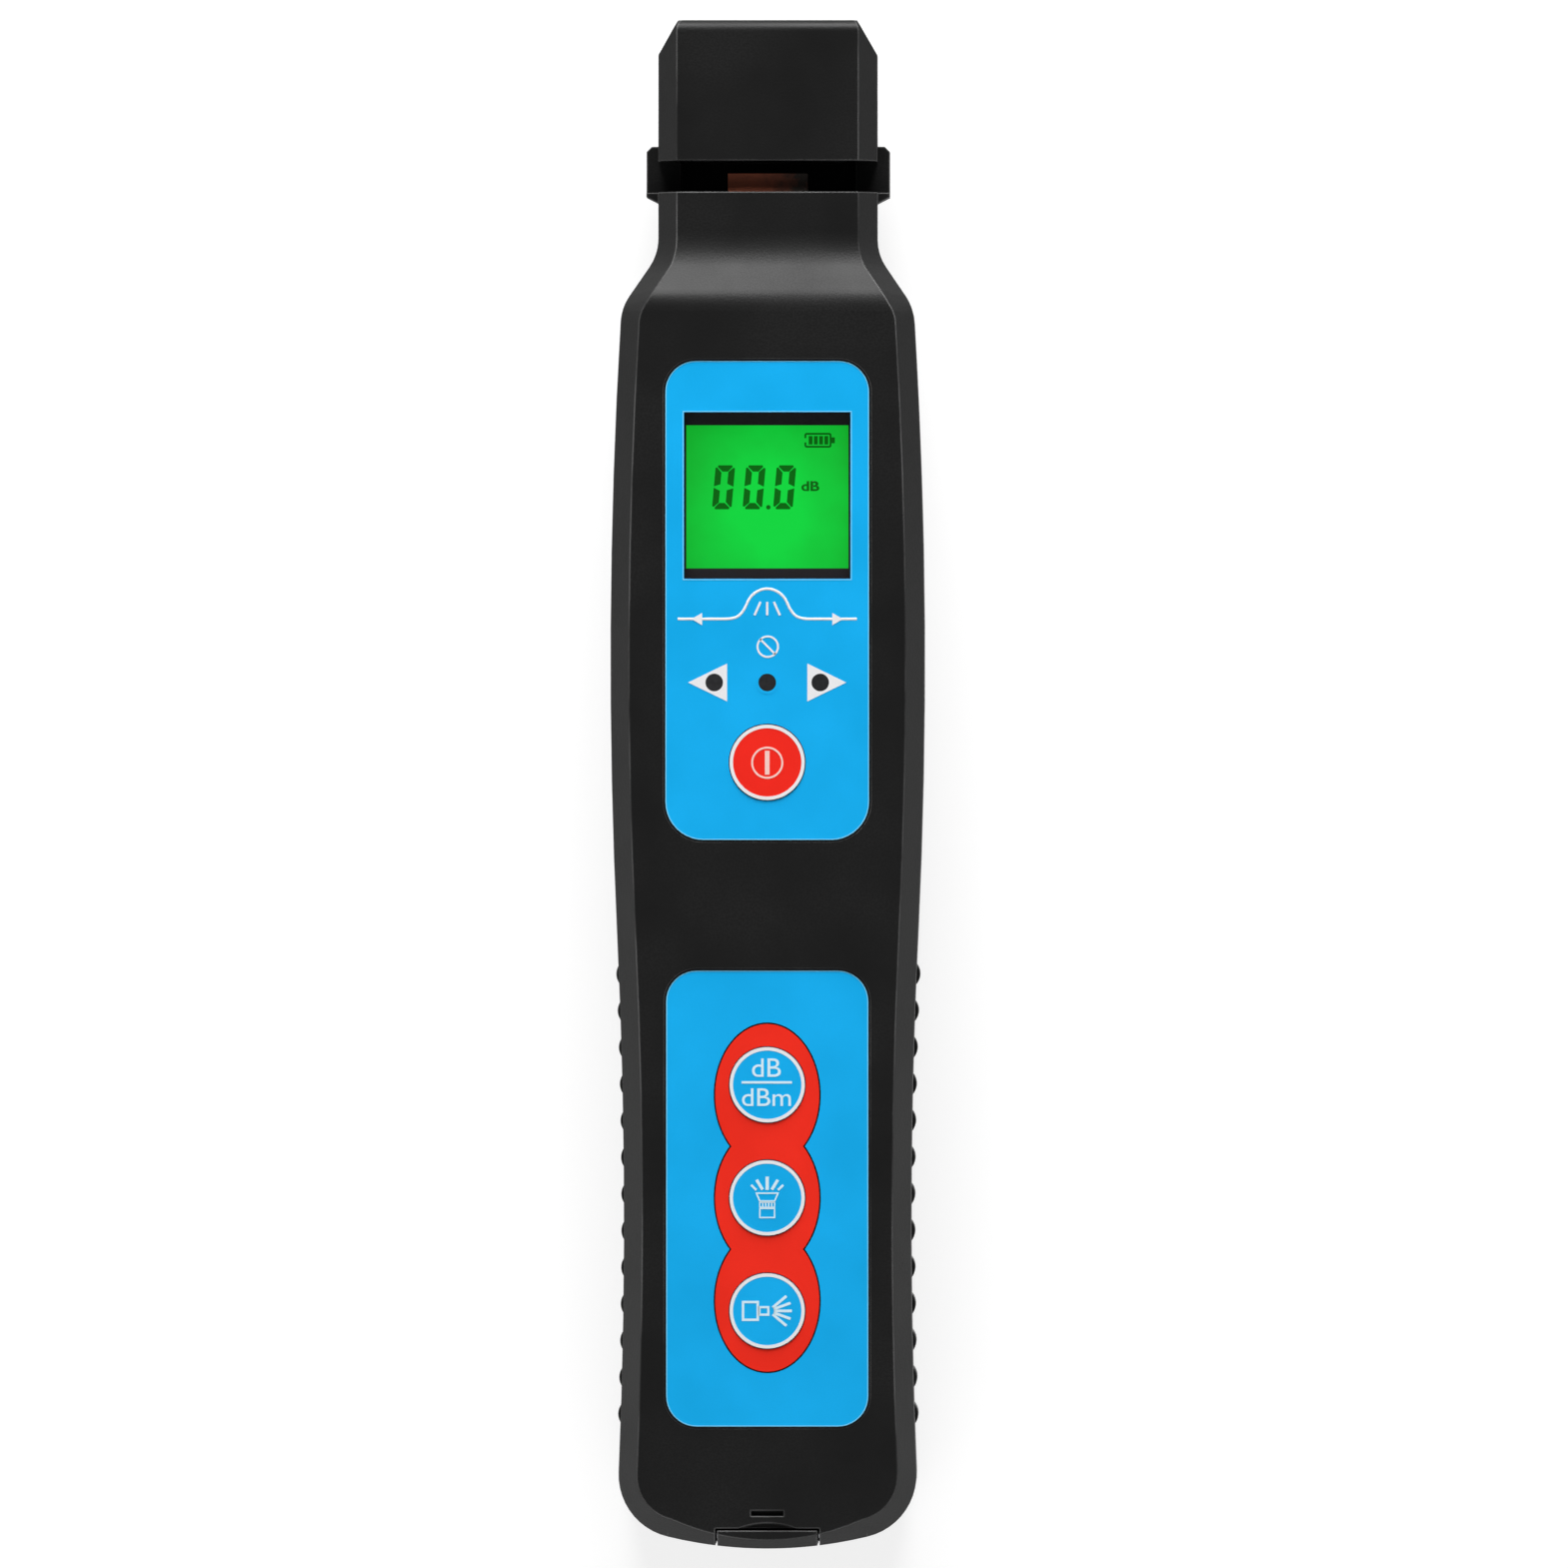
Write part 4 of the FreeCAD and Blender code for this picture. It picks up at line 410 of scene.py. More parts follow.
@dataclass(frozen=True)
class PrintedFilm(Finish):
    """Polyester film, printed from behind, with a fine stippled face."""

    roughness: float = 0.42
    specular: float = 0.14

    def paint(self, graph: Graph) -> None:
        """Vary the print a little and stipple the face.

        Args:
            graph: Node tree of the finish.
        """
        cloud = graph.noise(9 * MM, 2.0)
        stipple = graph.cells(0.16 * MM)
        dark, light = scaled(self.colour, 0.95), scaled(self.colour, 1.05)
        tone = graph.blend(graph.fit(cloud, *NOISE, 0.0, 1.0), dark, light)
        graph.skin(
            Base_Color=graph.blend(graph.fit(stipple, 0.2, 0.8, 0.0, 0.12), tone, scaled(self.colour, 0.8)),
            Roughness=graph.fit(cloud, *NOISE, self.roughness - 0.04, self.roughness + 0.06),
            Specular_IOR_Level=self.specular,
            Normal=graph.relief(stipple, 0.12, 0.02 * MM),
        )


@dataclass(frozen=True)
class Ink(Finish):
    """Screen-printed ink, slightly uneven in cover."""

    roughness: float = 0.5

    def paint(self, graph: Graph) -> None:
        """Let the cover vary in fine specks.

        Args:
            graph: Node tree of the finish.
        """
        cover = graph.noise(0.12 * MM, 2.0)
        thin = scaled(self.colour, 0.93)
        graph.skin(
            Base_Color=graph.blend(graph.fit(cover, 0.35, 0.65, 0.0, 1.0), thin, self.colour),
            Roughness=graph.fit(cover, *NOISE, self.roughness - 0.06, self.roughness + 0.06),
            Specular_IOR_Level=0.2,
            Normal=graph.relief(cover, 0.1, 0.01 * MM),
        )


@dataclass(frozen=True)
class LitScreen(Finish):
    """Back-lit display glass, brightest in the middle."""

    edge: Colour
    centre: Place
    reach: Place
    unlit: Colour = (0.004, 0.02, 0.005, 1.0)

    def paint(self, graph: Graph) -> None:
        """Fade the light from the middle to the sides.

        Args:
            graph: Node tree of the finish.
        """
        shift = (-self.centre[0], -self.centre[1], -self.centre[2])
        place = graph.turned((1 / self.reach[0], 1 / self.reach[1], 0.0), shift)
        length = graph.add("ShaderNodeVectorMath", operation="LENGTH")
        graph.feed(length, 0, place)
        cloud = graph.fit(graph.noise(5 * MM, 2.0), *NOISE, -0.08, 0.08)
        share = graph.fit(graph.work("ADD", length.outputs["Value"], cloud), 0.35, 1.15, 0.0, 1.0)
        light = graph.blend(share, self.colour, self.edge)
        graph.skin(
            Base_Color=self.unlit,
            Roughness=graph.fit(cloud, -0.08, 0.08, 0.3, 0.36),
            Specular_IOR_Level=0.05,
            Emission_Color=light,
            Emission_Strength=1.0,
        )


@dataclass(frozen=True)
class Clear(Finish):
    """Clear plastic with faint rubbing marks."""

    roughness: float = 0.0
    refraction: float = 1.46

    def paint(self, graph: Graph) -> None:
        """Let light through, with a faint unevenness.

        Args:
            graph: Node tree of the finish.
        """
        marks = graph.noise(4 * MM, 4.0)
        graph.skin(
            Base_Color=graph.blend(marks, scaled(self.colour, 0.98), self.colour),
            Roughness=graph.fit(marks, 0.5, 0.8, self.roughness, self.roughness + 0.01),
            Transmission_Weight=1.0,
            IOR=self.refraction,
            Specular_IOR_Level=0.25,
        )


@dataclass(frozen=True)
class CoatedPane(Finish):
    """Clear pane with an anti-glare coat: a thin tint and a soft sheen."""

    roughness: float = 0.25
    cover: float = 0.075

    def paint(self, graph: Graph) -> None:
        """Let faint rubbing marks vary the coat.

        Args:
            graph: Node tree of the finish.
        """
        marks = graph.noise(4 * MM, 4.0)
        graph.skin(
            Base_Color=graph.blend(marks, scaled(self.colour, 0.8), self.colour),
            Roughness=graph.fit(marks, *NOISE, self.roughness, self.roughness + 0.06),
            Specular_IOR_Level=0.4,
            Alpha=self.cover,
        )


@dataclass(frozen=True)
class TurnedMetal(Finish):
    """Plated or turned metal with fine tool lines along an axis."""

    roughness: float = 0.3
    stretch: Place = (1.0, 12.0, 1.0)

    def paint(self, graph: Graph) -> None:
        """Lay tool lines across the stretched direction.

        Args:
            graph: Node tree of the finish.
        """
        lines = graph.noise(0.5 * MM, 3.0, graph.turned(self.stretch))
        tarnish = graph.noise(3 * MM, 3.0)
        tone = graph.blend(graph.fit(tarnish, 0.35, 0.7, 0.0, 1.0), self.colour, scaled(self.colour, 0.72))
        graph.skin(
            Base_Color=graph.blend(graph.fit(lines, *NOISE, 0.0, 0.3), tone, scaled(self.colour, 1.15)),
            Metallic=1.0,
            Roughness=graph.fit(lines, *NOISE, self.roughness - 0.08, self.roughness + 0.1),
            Normal=graph.relief(lines, 0.2, 0.02 * MM),
        )


@dataclass(frozen=True)
class AmberRubber(Finish):
    """Translucent brown elastomer, with painted shade that darkens it towards one side."""

    # Colour of the painted shade on the darker side of the pad.
    shaded_side: Colour
    span: Pair = (0.0, 1.0)

    def paint(self, graph: Graph) -> None:
        """Fade the colour across the pad into painted shade and cloud it.

        Args:
            graph: Node tree of the finish.
        """
        cloud = graph.noise(1.2 * MM, 3.0)
        # Painted shade: the colour darkens across the pad towards one side of the slot.
        side = graph.fit(graph.axis("X"), *self.span, 0.0, 1.0)
        share = graph.work("ADD", side, graph.fit(cloud, *NOISE, -0.2, 0.2))
        graph.skin(
            Base_Color=graph.blend(graph.fit(share, 0.0, 1.0, 0.0, 1.0), self.colour, self.shaded_side),
            Roughness=graph.fit(cloud, *NOISE, 0.4, 0.55),
            Specular_IOR_Level=0.12,
            Normal=graph.relief(cloud, 0.2, 0.05 * MM),
        )


@dataclass(frozen=True)
class SolderMask(Finish):
    """Green board lacquer with copper runs showing through."""

    def paint(self, graph: Graph) -> None:
        """Draw runs and pads under the lacquer.

        Args:
            graph: Node tree of the finish.
        """
        brick = graph.add("ShaderNodeTexBrick", offset=0.5, squash=0.6)
        graph.feed(brick, "Vector", graph.place)
        lacquer = scaled(self.colour, 0.9)
        graph.feed(brick, "Color1", lacquer)
        graph.feed(brick, "Color2", scaled(self.colour, 1.1))
        graph.feed(brick, "Mortar", scaled(self.colour, 1.9))
        graph.feed(brick, "Scale", 420.0)
        graph.feed(brick, "Mortar Size", 0.05)
        cloud = graph.noise(2 * MM, 2.0)
        graph.skin(
            Base_Color=graph.blend(graph.fit(cloud, 0.45, 0.55, 0.0, 1.0), lacquer, brick.outputs[0]),
            Roughness=graph.fit(cloud, *NOISE, 0.25, 0.4),
            Normal=graph.relief(brick.outputs[1], 0.2, 0.03 * MM),
        )


@dataclass(frozen=True)
class BatteryCan(Finish):
    """Printed metal can in two tones with a fine line between them."""

    band: Colour
    edge: float
    bare: Colour = shade(150, 150, 150)

    def paint(self, graph: Graph) -> None:
        """Split the colour along the can and scuff it.

        Args:
            graph: Node tree of the finish.
        """
        along = graph.axis("Y")
        scuff = graph.noise(1.5 * MM, 4.0)
        second = graph.fit(along, self.edge, self.edge + 0.1 * MM, 0.0, 1.0)
        tone = graph.blend(second, self.colour, self.band)
        graph.skin(
            Base_Color=graph.blend(graph.fit(scuff, 0.55, 0.75, 0.0, 0.35), tone, self.bare),
            Metallic=graph.fit(second, 0.0, 1.0, 0.1, 0.7),
            Roughness=graph.fit(scuff, *NOISE, 0.28, 0.42),
            Normal=graph.relief(scuff, 0.08, 0.05 * MM),
        )


SHELL = MouldedPlastic(
    "satin black case", shade(28, 28, 28), roughness=0.42, specular=0.14, grain=0.28 * MM, strength=0.3,
    rounding=0.3 * MM)
TRIM = MouldedPlastic(
    "smooth black plastic", shade(24, 24, 25), roughness=0.36, specular=0.4, grain=0.5 * MM, strength=0.12,
    rounding=0.12 * MM)
SLIDE = MouldedPlastic(
    "grey acetal", shade(66, 66, 68), roughness=0.4, specular=0.4, grain=0.6 * MM, strength=0.15,
    rounding=0.15 * MM)
OPTIC = MouldedPlastic(
    "optical black", shade(16, 16, 17), roughness=0.6, specular=0.25, grain=0.2 * MM, strength=0.3)
SMOKED = MouldedPlastic(
    "smoked lamp window", shade(40, 40, 42), roughness=0.25, specular=0.5, grain=0.6 * MM, strength=0.05)
BLUE_FILM = PrintedFilm("blue panel film", shade(17, 172, 237))
RED_FILM = PrintedFilm("red panel film", shade(240, 44, 28))
BLUE_KEY = PrintedFilm("blue key film", shade(17, 172, 237))
RED_KEY = PrintedFilm("red key film", shade(240, 40, 28))
WHITE_INK = Ink("white print", shade(236, 236, 238))
PALE_INK = Ink("pale cyan print", shade(214, 240, 250))
# Painted highlight: a pale line on the film's cut edge, where the edge would catch the light.
EDGE_HIGHLIGHT = Ink("painted film edge highlight", shade(122, 212, 250))
# Painted shadow: a dark line in the recess gap round each film sheet.
GAP_SHADOW = Ink("painted recess gap shadow", shade(7, 8, 12))
ROSE_INK = Ink("pale rose print", shade(250, 206, 198))
LCD_GLASS = LitScreen(
    "green lit glass", shade(12, 226, 66), edge=shade(16, 176, 42), centre=at(0.3, 36.5, GLASS_TOP),
    reach=(12.5 * MM, 15.5 * MM, 1.0))
LCD_MARK = LitScreen(
    "dark display marks", shade(0, 100, 6), edge=shade(0, 86, 6), centre=at(0.3, 38.0, GLASS_TOP),
    reach=(14.0 * MM, 14.0 * MM, 1.0))
# Painted shade: a dark border on the display glass where the module's frame and the window's walls lie in
# shade.
BORDER_SHADE = Ink("painted shade display border", shade(44, 38, 44))
WINDOW = CoatedPane("coated window", shade(30, 40, 32))
LENS = Clear("clear lamp lens", shade(250, 252, 254), roughness=0.04, refraction=1.5)
LIGHT_PLATE = Ink("diffusing light plate", shade(200, 240, 190), roughness=0.6)
AMBER = AmberRubber(
    "brown fibre pad", shade(168, 96, 72), shaded_side=shade(66, 60, 56), span=(-1.5 * MM, 4.6 * MM))
BOARD = SolderMask("green board", shade(18, 84, 44))
CAN = BatteryCan("battery can", shade(38, 40, 44), band=shade(196, 132, 72), edge=-29 * MM)
STEEL = TurnedMetal("zinc-plated steel", shade(176, 178, 182), roughness=0.34)
SPRING = TurnedMetal("bright spring wire", shade(198, 200, 204), roughness=0.24)
NICKEL = TurnedMetal("nickel-plated bush", shade(206, 204, 198), roughness=0.2)
BRASS = TurnedMetal("turned brass", shade(204, 164, 92), roughness=0.28)


class Bench:
    """Modelling moves on the piece in work, made with Blender's own operators."""

    def clear(self) -> None:
        """Leave edit mode and deselect everything."""
        if bpy.context.object is not None and bpy.context.object.mode != "OBJECT":
            bpy.ops.object.mode_set(mode="OBJECT")
        bpy.ops.object.select_all(action="DESELECT")

    def pick(self, piece: Object) -> None:
        """Make a piece the only selected and active one.

        Args:
            piece: The piece.
        """
        self.clear()
        piece.select_set(True)
        bpy.context.view_layer.objects.active = piece

    def edit(self, piece: Object) -> None:
        """Open a piece in edit mode with all of it selected.

        Args:
            piece: The piece.
        """
        self.pick(piece)
        bpy.ops.object.mode_set(mode="EDIT")
        bpy.ops.mesh.select_all(action="SELECT")

    def choose(self, test: Callable[[Vector], bool]) -> None:
        """Select corners of the open piece.

        Args:
            test: Says of a corner's place whether it is selected.
        """
        mesh = bmesh.from_edit_mesh(bpy.context.object.data)
        for corner in mesh.verts:
            corner.select_set(bool(test(corner.co)))
        mesh.select_flush_mode()
        bmesh.update_edit_mesh(bpy.context.object.data)

    def named(self, name: str) -> Object:
        """Name the active piece and its data.

        Args:
            name: The name.

        Returns:
            The piece.
        """
        piece = bpy.context.object
        piece.name = name
        piece.data.name = name
        return piece

    def panel(self, name: str, centre: Place, size: Sequence[float],
              corners: Sequence[float] = (0.0, 0.0)) -> Object:
        """Make a flat rectangle with rounded corners.

        Args:
            name: Name of the piece.
            centre: Its middle.
            size: Its size across and along.
            corners: Radius of the upper and of the lower corners.

        Returns:
            The flat piece.
        """
        self.clear()
        bpy.ops.mesh.primitive_plane_add(size=1.0, location=centre)
        piece = self.named(name)
        self.edit(piece)
        bpy.ops.transform.resize(value=(size[0], size[1], 1.0), center_override=centre)
        for radius, side in zip(corners, (1, -1)):
            if radius > 0.0:
                self.choose(lambda place, side=side: place.y * side > 0.0)
                bpy.ops.mesh.bevel(offset=radius, affect="VERTICES", segments=10)
        self.clear()
        return piece

    def disc(self, name: str, centre: Place, radius: float, sides: int = 64) -> Object:
        """Make a flat disc or even-sided plate.

        Args:
            name: Name of the piece.
            centre: Its middle.
            radius: Its outer radius.
            sides: Number of its sides.

        Returns:
            The flat piece.
        """
        self.clear()
        bpy.ops.mesh.primitive_circle_add(vertices=sides, radius=radius, fill_type="NGON", location=centre)
        return self.named(name)

    def hollow(self, piece: Object, width: float) -> Object:
        """Leave only a border of a flat piece.

        Args:
            piece: The flat piece.
            width: Width of the border.

        Returns:
            The same piece.
        """
        self.edit(piece)
        bpy.ops.mesh.inset(thickness=width)
        bpy.ops.mesh.delete(type="FACE")
        self.clear()
        return piece

    def breach(self, piece: Object, half: float) -> Object:
        """Open a gap in the left side of a flat border.

        Args:
            piece: The border.
            half: Half the height of the gap.

        Returns:
            The same border.
        """
        for side in (half, -half):
            self.edit(piece)
            level = (piece.location.x, piece.location.y + side, piece.location.z)
            bpy.ops.mesh.bisect(plane_co=level, plane_no=(0.0, 1.0, 0.0))
            self.clear()
        self.edit(piece)
        self.choose(lambda place: place.x < 0.0 and abs(place.y) < half * 1.01)
        bpy.ops.mesh.delete(type="ONLY_FACE")
        bpy.ops.mesh.select_all(action="SELECT")
        bpy.ops.mesh.delete_loose()
        self.clear()
        return piece

    def taper(self, piece: Object, side: Place, share: Place) -> Object:
        """Draw in the corners of a flat piece on one side.

        Args:
            piece: The flat piece.
            side: Direction of the side from the piece's middle.
            share: Scale of that side along each axis.

        Returns:
            The same piece.
        """
        self.edit(piece)
        self.choose(lambda place: place.dot(Vector(side)) > 0.0)
        bpy.ops.transform.resize(value=share, center_override=piece.location)
        self.clear()
        return piece

    def bar(self, name: str, start: Sequence[float], end: Sequence[float], width: float,
            height: float) -> Object:
        """Make a flat bar between two points, in millimetres.

        Args:
            name: Name of the piece.
            start: One end across and along.
            end: The other end.
            width: Width of the bar.
            height: Height of its lower face.

        Returns:
            The flat piece.
        """
        reach = math.dist(start, end)
        middle = at((start[0] + end[0]) / 2, (start[1] + end[1]) / 2, height)
        piece = self.panel(name, middle, (reach * MM, width * MM))
        piece.rotation_euler.z = math.atan2(end[1] - start[1], end[0] - start[0])
        return piece

    def words(self, name: str, text: str, centre: Place, size: Sequence[float],
              weight: float = 0.0) -> Object:
        """Make flat letters that fill a given size.

        Args:
            name: Name of the piece.
            text: The letters.
            centre: Middle of the letters.
            size: Their width and height.
            weight: Added weight of the strokes, as a share of the letter size.

        Returns:
            The flat piece.
        """
        self.clear()
        bpy.ops.object.text_add(location=(0.0, 0.0, 0.0))
        piece = self.named(name)
        piece.data.body = text
        piece.data.resolution_u = 6
        piece.data.offset = weight
        bpy.ops.object.convert(target="MESH")
        piece = self.named(name)
        low = [min(corner.co[axis] for corner in piece.data.vertices) for axis in (0, 1)]
        high = [max(corner.co[axis] for corner in piece.data.vertices) for axis in (0, 1)]
        share = [size[axis] / (high[axis] - low[axis]) for axis in (0, 1)]
        self.edit(piece)
        bpy.ops.mesh.remove_doubles(threshold=0.0001)
        bpy.ops.transform.translate(value=(-(low[0] + high[0]) / 2, -(low[1] + high[1]) / 2, 0.0))
        bpy.ops.transform.resize(value=(share[0], share[1], 1.0), center_override=(0.0, 0.0, 0.0))
        self.clear()
        piece.location = centre
        return piece

    def wire(self, name: str, points: Sequence[Sequence[float]], width: float, height: float) -> Object:
        """Make a flat smooth line through control points, in millimetres.

        Args:
            name: Name of the piece.
            points: Control points across and along.
            width: Width of the line.
            height: Height of the face that it lies on.

        Returns:
            The flattened line.
        """
        self.clear()
        bpy.ops.curve.primitive_nurbs_path_add(location=(0.0, 0.0, 0.0))
        piece = self.named(name)
        spline = piece.data.splines[0]
        spline.points.add(len(points) - len(spline.points))
        for point, (across, along) in zip(spline.points, points):
            point.co = (across * MM, along * MM, 0.0, 1.0)
        spline.order_u = 3
        spline.use_endpoint_u = True
        spline.resolution_u = 8
        piece.data.dimensions = "3D"
        piece.data.bevel_depth = width * MM / 2
        piece.data.bevel_resolution = 2
        piece.data.use_fill_caps = True
        bpy.ops.object.convert(target="MESH")
        piece = self.named(name)
        self.edit(piece)
        bpy.ops.transform.resize(value=(1.0, 1.0, 0.25), center_override=(0.0, 0.0, 0.0))
        bpy.ops.mesh.normals_make_consistent(inside=False)
        self.clear()
        piece.location.z = height * MM
        return piece

    def thicken(self, piece: Object, height: float = PRINT) -> Object:
        """Give a flat piece a thickness upwards.

        Args:
            piece: The flat piece.
            height: The thickness in millimetres.

        Returns:
            The same piece.
        """
        self.pick(piece)
        bpy.ops.object.modifier_add(type="SOLIDIFY")
        wall = piece.modifiers[-1]
        wall.thickness = height * MM
        wall.offset = 1.0
        bpy.ops.object.modifier_apply(modifier=wall.name)
        return piece

    def cut(self, piece: Object, tool: Object) -> Object:
        """Take the shape of a tool out of a piece.

        Args:
            piece: The piece.
            tool: The tool, which is removed.

        Returns:
            The same piece.
        """
        self.pick(piece)
        bpy.ops.object.modifier_add(type="BOOLEAN")
        hole = piece.modifiers[-1]
        hole.operation = "DIFFERENCE"
        hole.solver = "EXACT"
        hole.object = tool
        bpy.ops.object.modifier_apply(modifier=hole.name)
        bpy.data.objects.remove(tool)
        return piece

    def copy(self, piece: Object, name: str, shift: Place) -> Object:
        """Copy a piece with its own mesh and move the copy.

        Args:
            piece: The piece to copy.
            name: Name of the copy.
            shift: Move from the piece to the copy.

        Returns:
            The copy.
        """
        self.pick(piece)
        bpy.ops.object.duplicate(linked=False)
        twin = self.named(name)
        twin.location = Vector(twin.location) + Vector(shift)
        return twin

    def join(self, name: str, pieces: Sequence[Object]) -> Object:
        """Join pieces into one.

        Args:
            name: Name of the joined piece.
            pieces: The pieces.

        Returns:
            The joined piece.
        """
        self.clear()
        for piece in pieces:
            piece.select_set(True)
        bpy.context.view_layer.objects.active = pieces[0]
        bpy.ops.object.join()
        return self.named(name)

    def fix(self, piece: Object) -> Object:
        """Put a piece's place, turn and scale into its mesh.

        Args:
            piece: The piece.

        Returns:
            The same piece.
        """
        self.pick(piece)
        bpy.ops.object.transform_apply(location=True, rotation=True, scale=True)
        return piece

    def settle(self, piece: Object, body: Body, finish: Finish, slot: str) -> Object:
        """Apply a piece's place, dress it and let it ride on a body.

        Args:
            piece: The piece.
            body: Body that it moves with.
            finish: Its finish.
            slot: Slot of the record that the finish belongs to; not used.

        Returns:
            The same piece.
        """
        self.fix(piece)
        piece.data.materials.clear()
        piece.data.materials.append(finish.material())
        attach(piece, body.value)
        LOG.info("%s rides on %s", piece.name, body.value)
        return piece


BENCH = Bench()


def dress(finish: Finish, *nodes: str) -> None:
    """Give CAD nodes a finish.

    Args:
        finish: The finish.
        nodes: Names of the nodes.
    """
    for name in nodes:
        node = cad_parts[name]
        if not node.material_slots:
            node.data.materials.append(None)
        for slot in node.material_slots:
            slot.material = finish.material()
        LOG.info("%s takes %s", name, finish.name)


@dataclass
class Case:
    """Outer shells, head, tail flap and battery door."""

    shells: tuple[str, ...] = ("front_shell", "rear_shell", "head_cover", "tail_flap", "battery_door")
    screws: tuple[str, ...] = ("tail_screws", "shoulder_screws", "head_screws", "flap_pin")

    def finish(self) -> None:
        """Dress the shells and their screws."""
        dress(SHELL, *self.shells)
        dress(STEEL, *self.screws)


@dataclass
class Overlay:
    """Printed film sheet with a painted highlight along its cut edge and a painted shadow in the gap round
    it, in a shallow recess; sizes in millimetres.
    """

    node: str
    width: float
    span: Pair
    corners: Pair
    line: float = 0.14
    gap: float = 0.26

    def border(self, name: str, grow: float, line: float, height: float) -> Object:
        """Make a thin border that follows the sheet's outline, in millimetres.

        Args:
            name: Name of the border.
            grow: How far its outer side stands out from the sheet.
            line: Its width.
            height: Height of the face that it lies on.

        Returns:
            The border with its thickness.
        """
        middle = at(0.0, sum(self.span) / 2, height)
        size = metres(self.width + 2 * grow, self.span[1] - self.span[0] + 2 * grow)
        corners = metres(*(radius + grow for radius in self.corners))
        flat = BENCH.panel(f"{self.node}_{name}", middle, size, corners)
        return BENCH.thicken(BENCH.hollow(flat, line * MM))

    def build_edge(self) -> None:
        """Make the painted highlight along the sheet's cut edge and the painted shadow in the gap round it.
        """
        BENCH.settle(self.border("edge", 0.0, self.line, FILM_TOP), Body.HOUSING, EDGE_HIGHLIGHT, "panel")
        BENCH.settle(self.border("gap", self.gap, self.gap, CASE_TOP), Body.HOUSING, GAP_SHADOW, "panel")

    def finish(self) -> None:
        """Dress the sheet."""
        dress(BLUE_FILM, self.node)


@dataclass
class Display:
    """Liquid crystal display behind its window; sizes in millimetres."""

    lean: float = 5.0
    digit: Point = (2.62, 5.9)
    digits_across: tuple[float, ...] = (-5.87, -1.78, 2.32)
    digits_along: float = 39.78
    point: Point = (0.13, 37.1)
    point_radius: float = 0.3
    stroke: float = 0.85
    short_mitre: float = 0.34
    gap: float = 0.09
    nip: float = 0.3
    charge: Outline = ((6.78, 46.08), (3.62, 1.98), 0.25)
    charge_gap: float = 0.28
    charge_bars: tuple[float, ...] = (5.8, 6.5, 7.2, 7.9)
    charge_bar: Point = (0.52, 1.14)
    charge_nub: float = 8.82
    nub: Point = (0.46, 0.8)
    unit: Point = (5.76, 39.94)
    unit_size: Point = (2.42, 1.34)
    unit_weight: float = 0.03
    borders: tuple[tuple[str, Pair, Pair], ...] = (
        ("border_top", (-11.15, 11.15), (48.09, 49.85)),
        ("border_foot", (-11.15, 11.15), (27.45, 28.9)),
        ("border_left", (-11.25, -10.87), (28.9, 48.1)),
        ("border_right", (10.87, 11.25), (28.9, 48.1)),
    )
    border_shade_thickness: float = 0.05
    window: tuple[float, float, float, float] = (-11.05, 11.05, 27.6, 49.7)
    lip: float = 0.28
    line: float = 0.12

    def stroke_piece(self, name: str, centre: Sequence[float], size: Sequence[float], side: Place,
                     mitres: Sequence[float], lean: float) -> Object:
        """Make one stroke of a digit, mitred towards its inner side.

        Args:
            name: Name of the stroke.
            centre: Its middle across and along, in millimetres.
            size: Its size before the mitres, in millimetres.
            side: Direction of its inner side.
            mitres: Mitre at its low and at its high end, in millimetres.
            lean: Lean of the stroke in degrees.

        Returns:
            The flat stroke.
        """
        piece = BENCH.panel(name, at(*centre, GLASS_TOP), metres(*size))
        inner = Vector(side)
        way = Vector((1.0, 0.0, 0.0)) if size[0] > size[1] else Vector((0.0, 1.0, 0.0))
        for sign, mitre in zip((1, -1), mitres):
            BENCH.edit(piece)
            BENCH.choose(lambda place, sign=sign: place.dot(inner) > 0.0 and place.dot(way) * sign < 0.0)
            bpy.ops.transform.translate(value=way * sign * mitre * MM)
            if mitre > self.stroke / 2:
                BENCH.choose(lambda place, sign=sign: place.dot(inner) < 0.0 and place.dot(way) * sign < 0.0)
                bpy.ops.mesh.bevel(offset=self.nip * MM, affect="VERTICES", segments=1)
            BENCH.clear()
        piece.rotation_euler.z = math.radians(-lean)
        return piece

    def build_zero(self) -> Object:
        """Make the digit 0 from six strokes, around its own middle.

        Returns:
            The flat digit.
        """
        wide, tall = self.digit
        stroke = self.stroke
        half = (wide - stroke) / 2
        slope = math.tan(math.radians(self.lean))
        strokes = []
        for side in (1, -1):
            along = side * (tall / 2 - stroke / 2)
            strokes.append(self.stroke_piece(
                f"stroke_level{side}", (along * slope, along), (wide - 2 * self.gap, stroke),
                (0.0, -side, 0.0), (stroke, stroke), 0.0))
            for row in (1, -1):
                along = row * tall / 4
                mitres = (self.short_mitre, stroke) if row > 0 else (stroke, self.short_mitre)
                strokes.append(self.stroke_piece(
                    f"stroke_upright{side}{row}", (side * half + along * slope, along),
                    (stroke, tall / 2 - 2 * self.gap), (-side, 0.0, 0.0), mitres, self.lean))
        return BENCH.join("digit_0", strokes)

    def build_digits(self) -> None:
        """Make the reading, three digits and a point."""
        zero = BENCH.fix(BENCH.thicken(self.build_zero()))
        pieces = [BENCH.copy(zero, f"digit_{index}", at(across, self.digits_along, 0.0))
                  for index, across in enumerate(self.digits_across, 1)]
        bpy.data.objects.remove(zero)
        point = BENCH.disc("digit_point", at(*self.point, GLASS_TOP), self.point_radius * MM, 32)
        pieces.append(BENCH.thicken(point))
        for piece in pieces:
            BENCH.settle(piece, Body.HOUSING, LCD_MARK, "display")

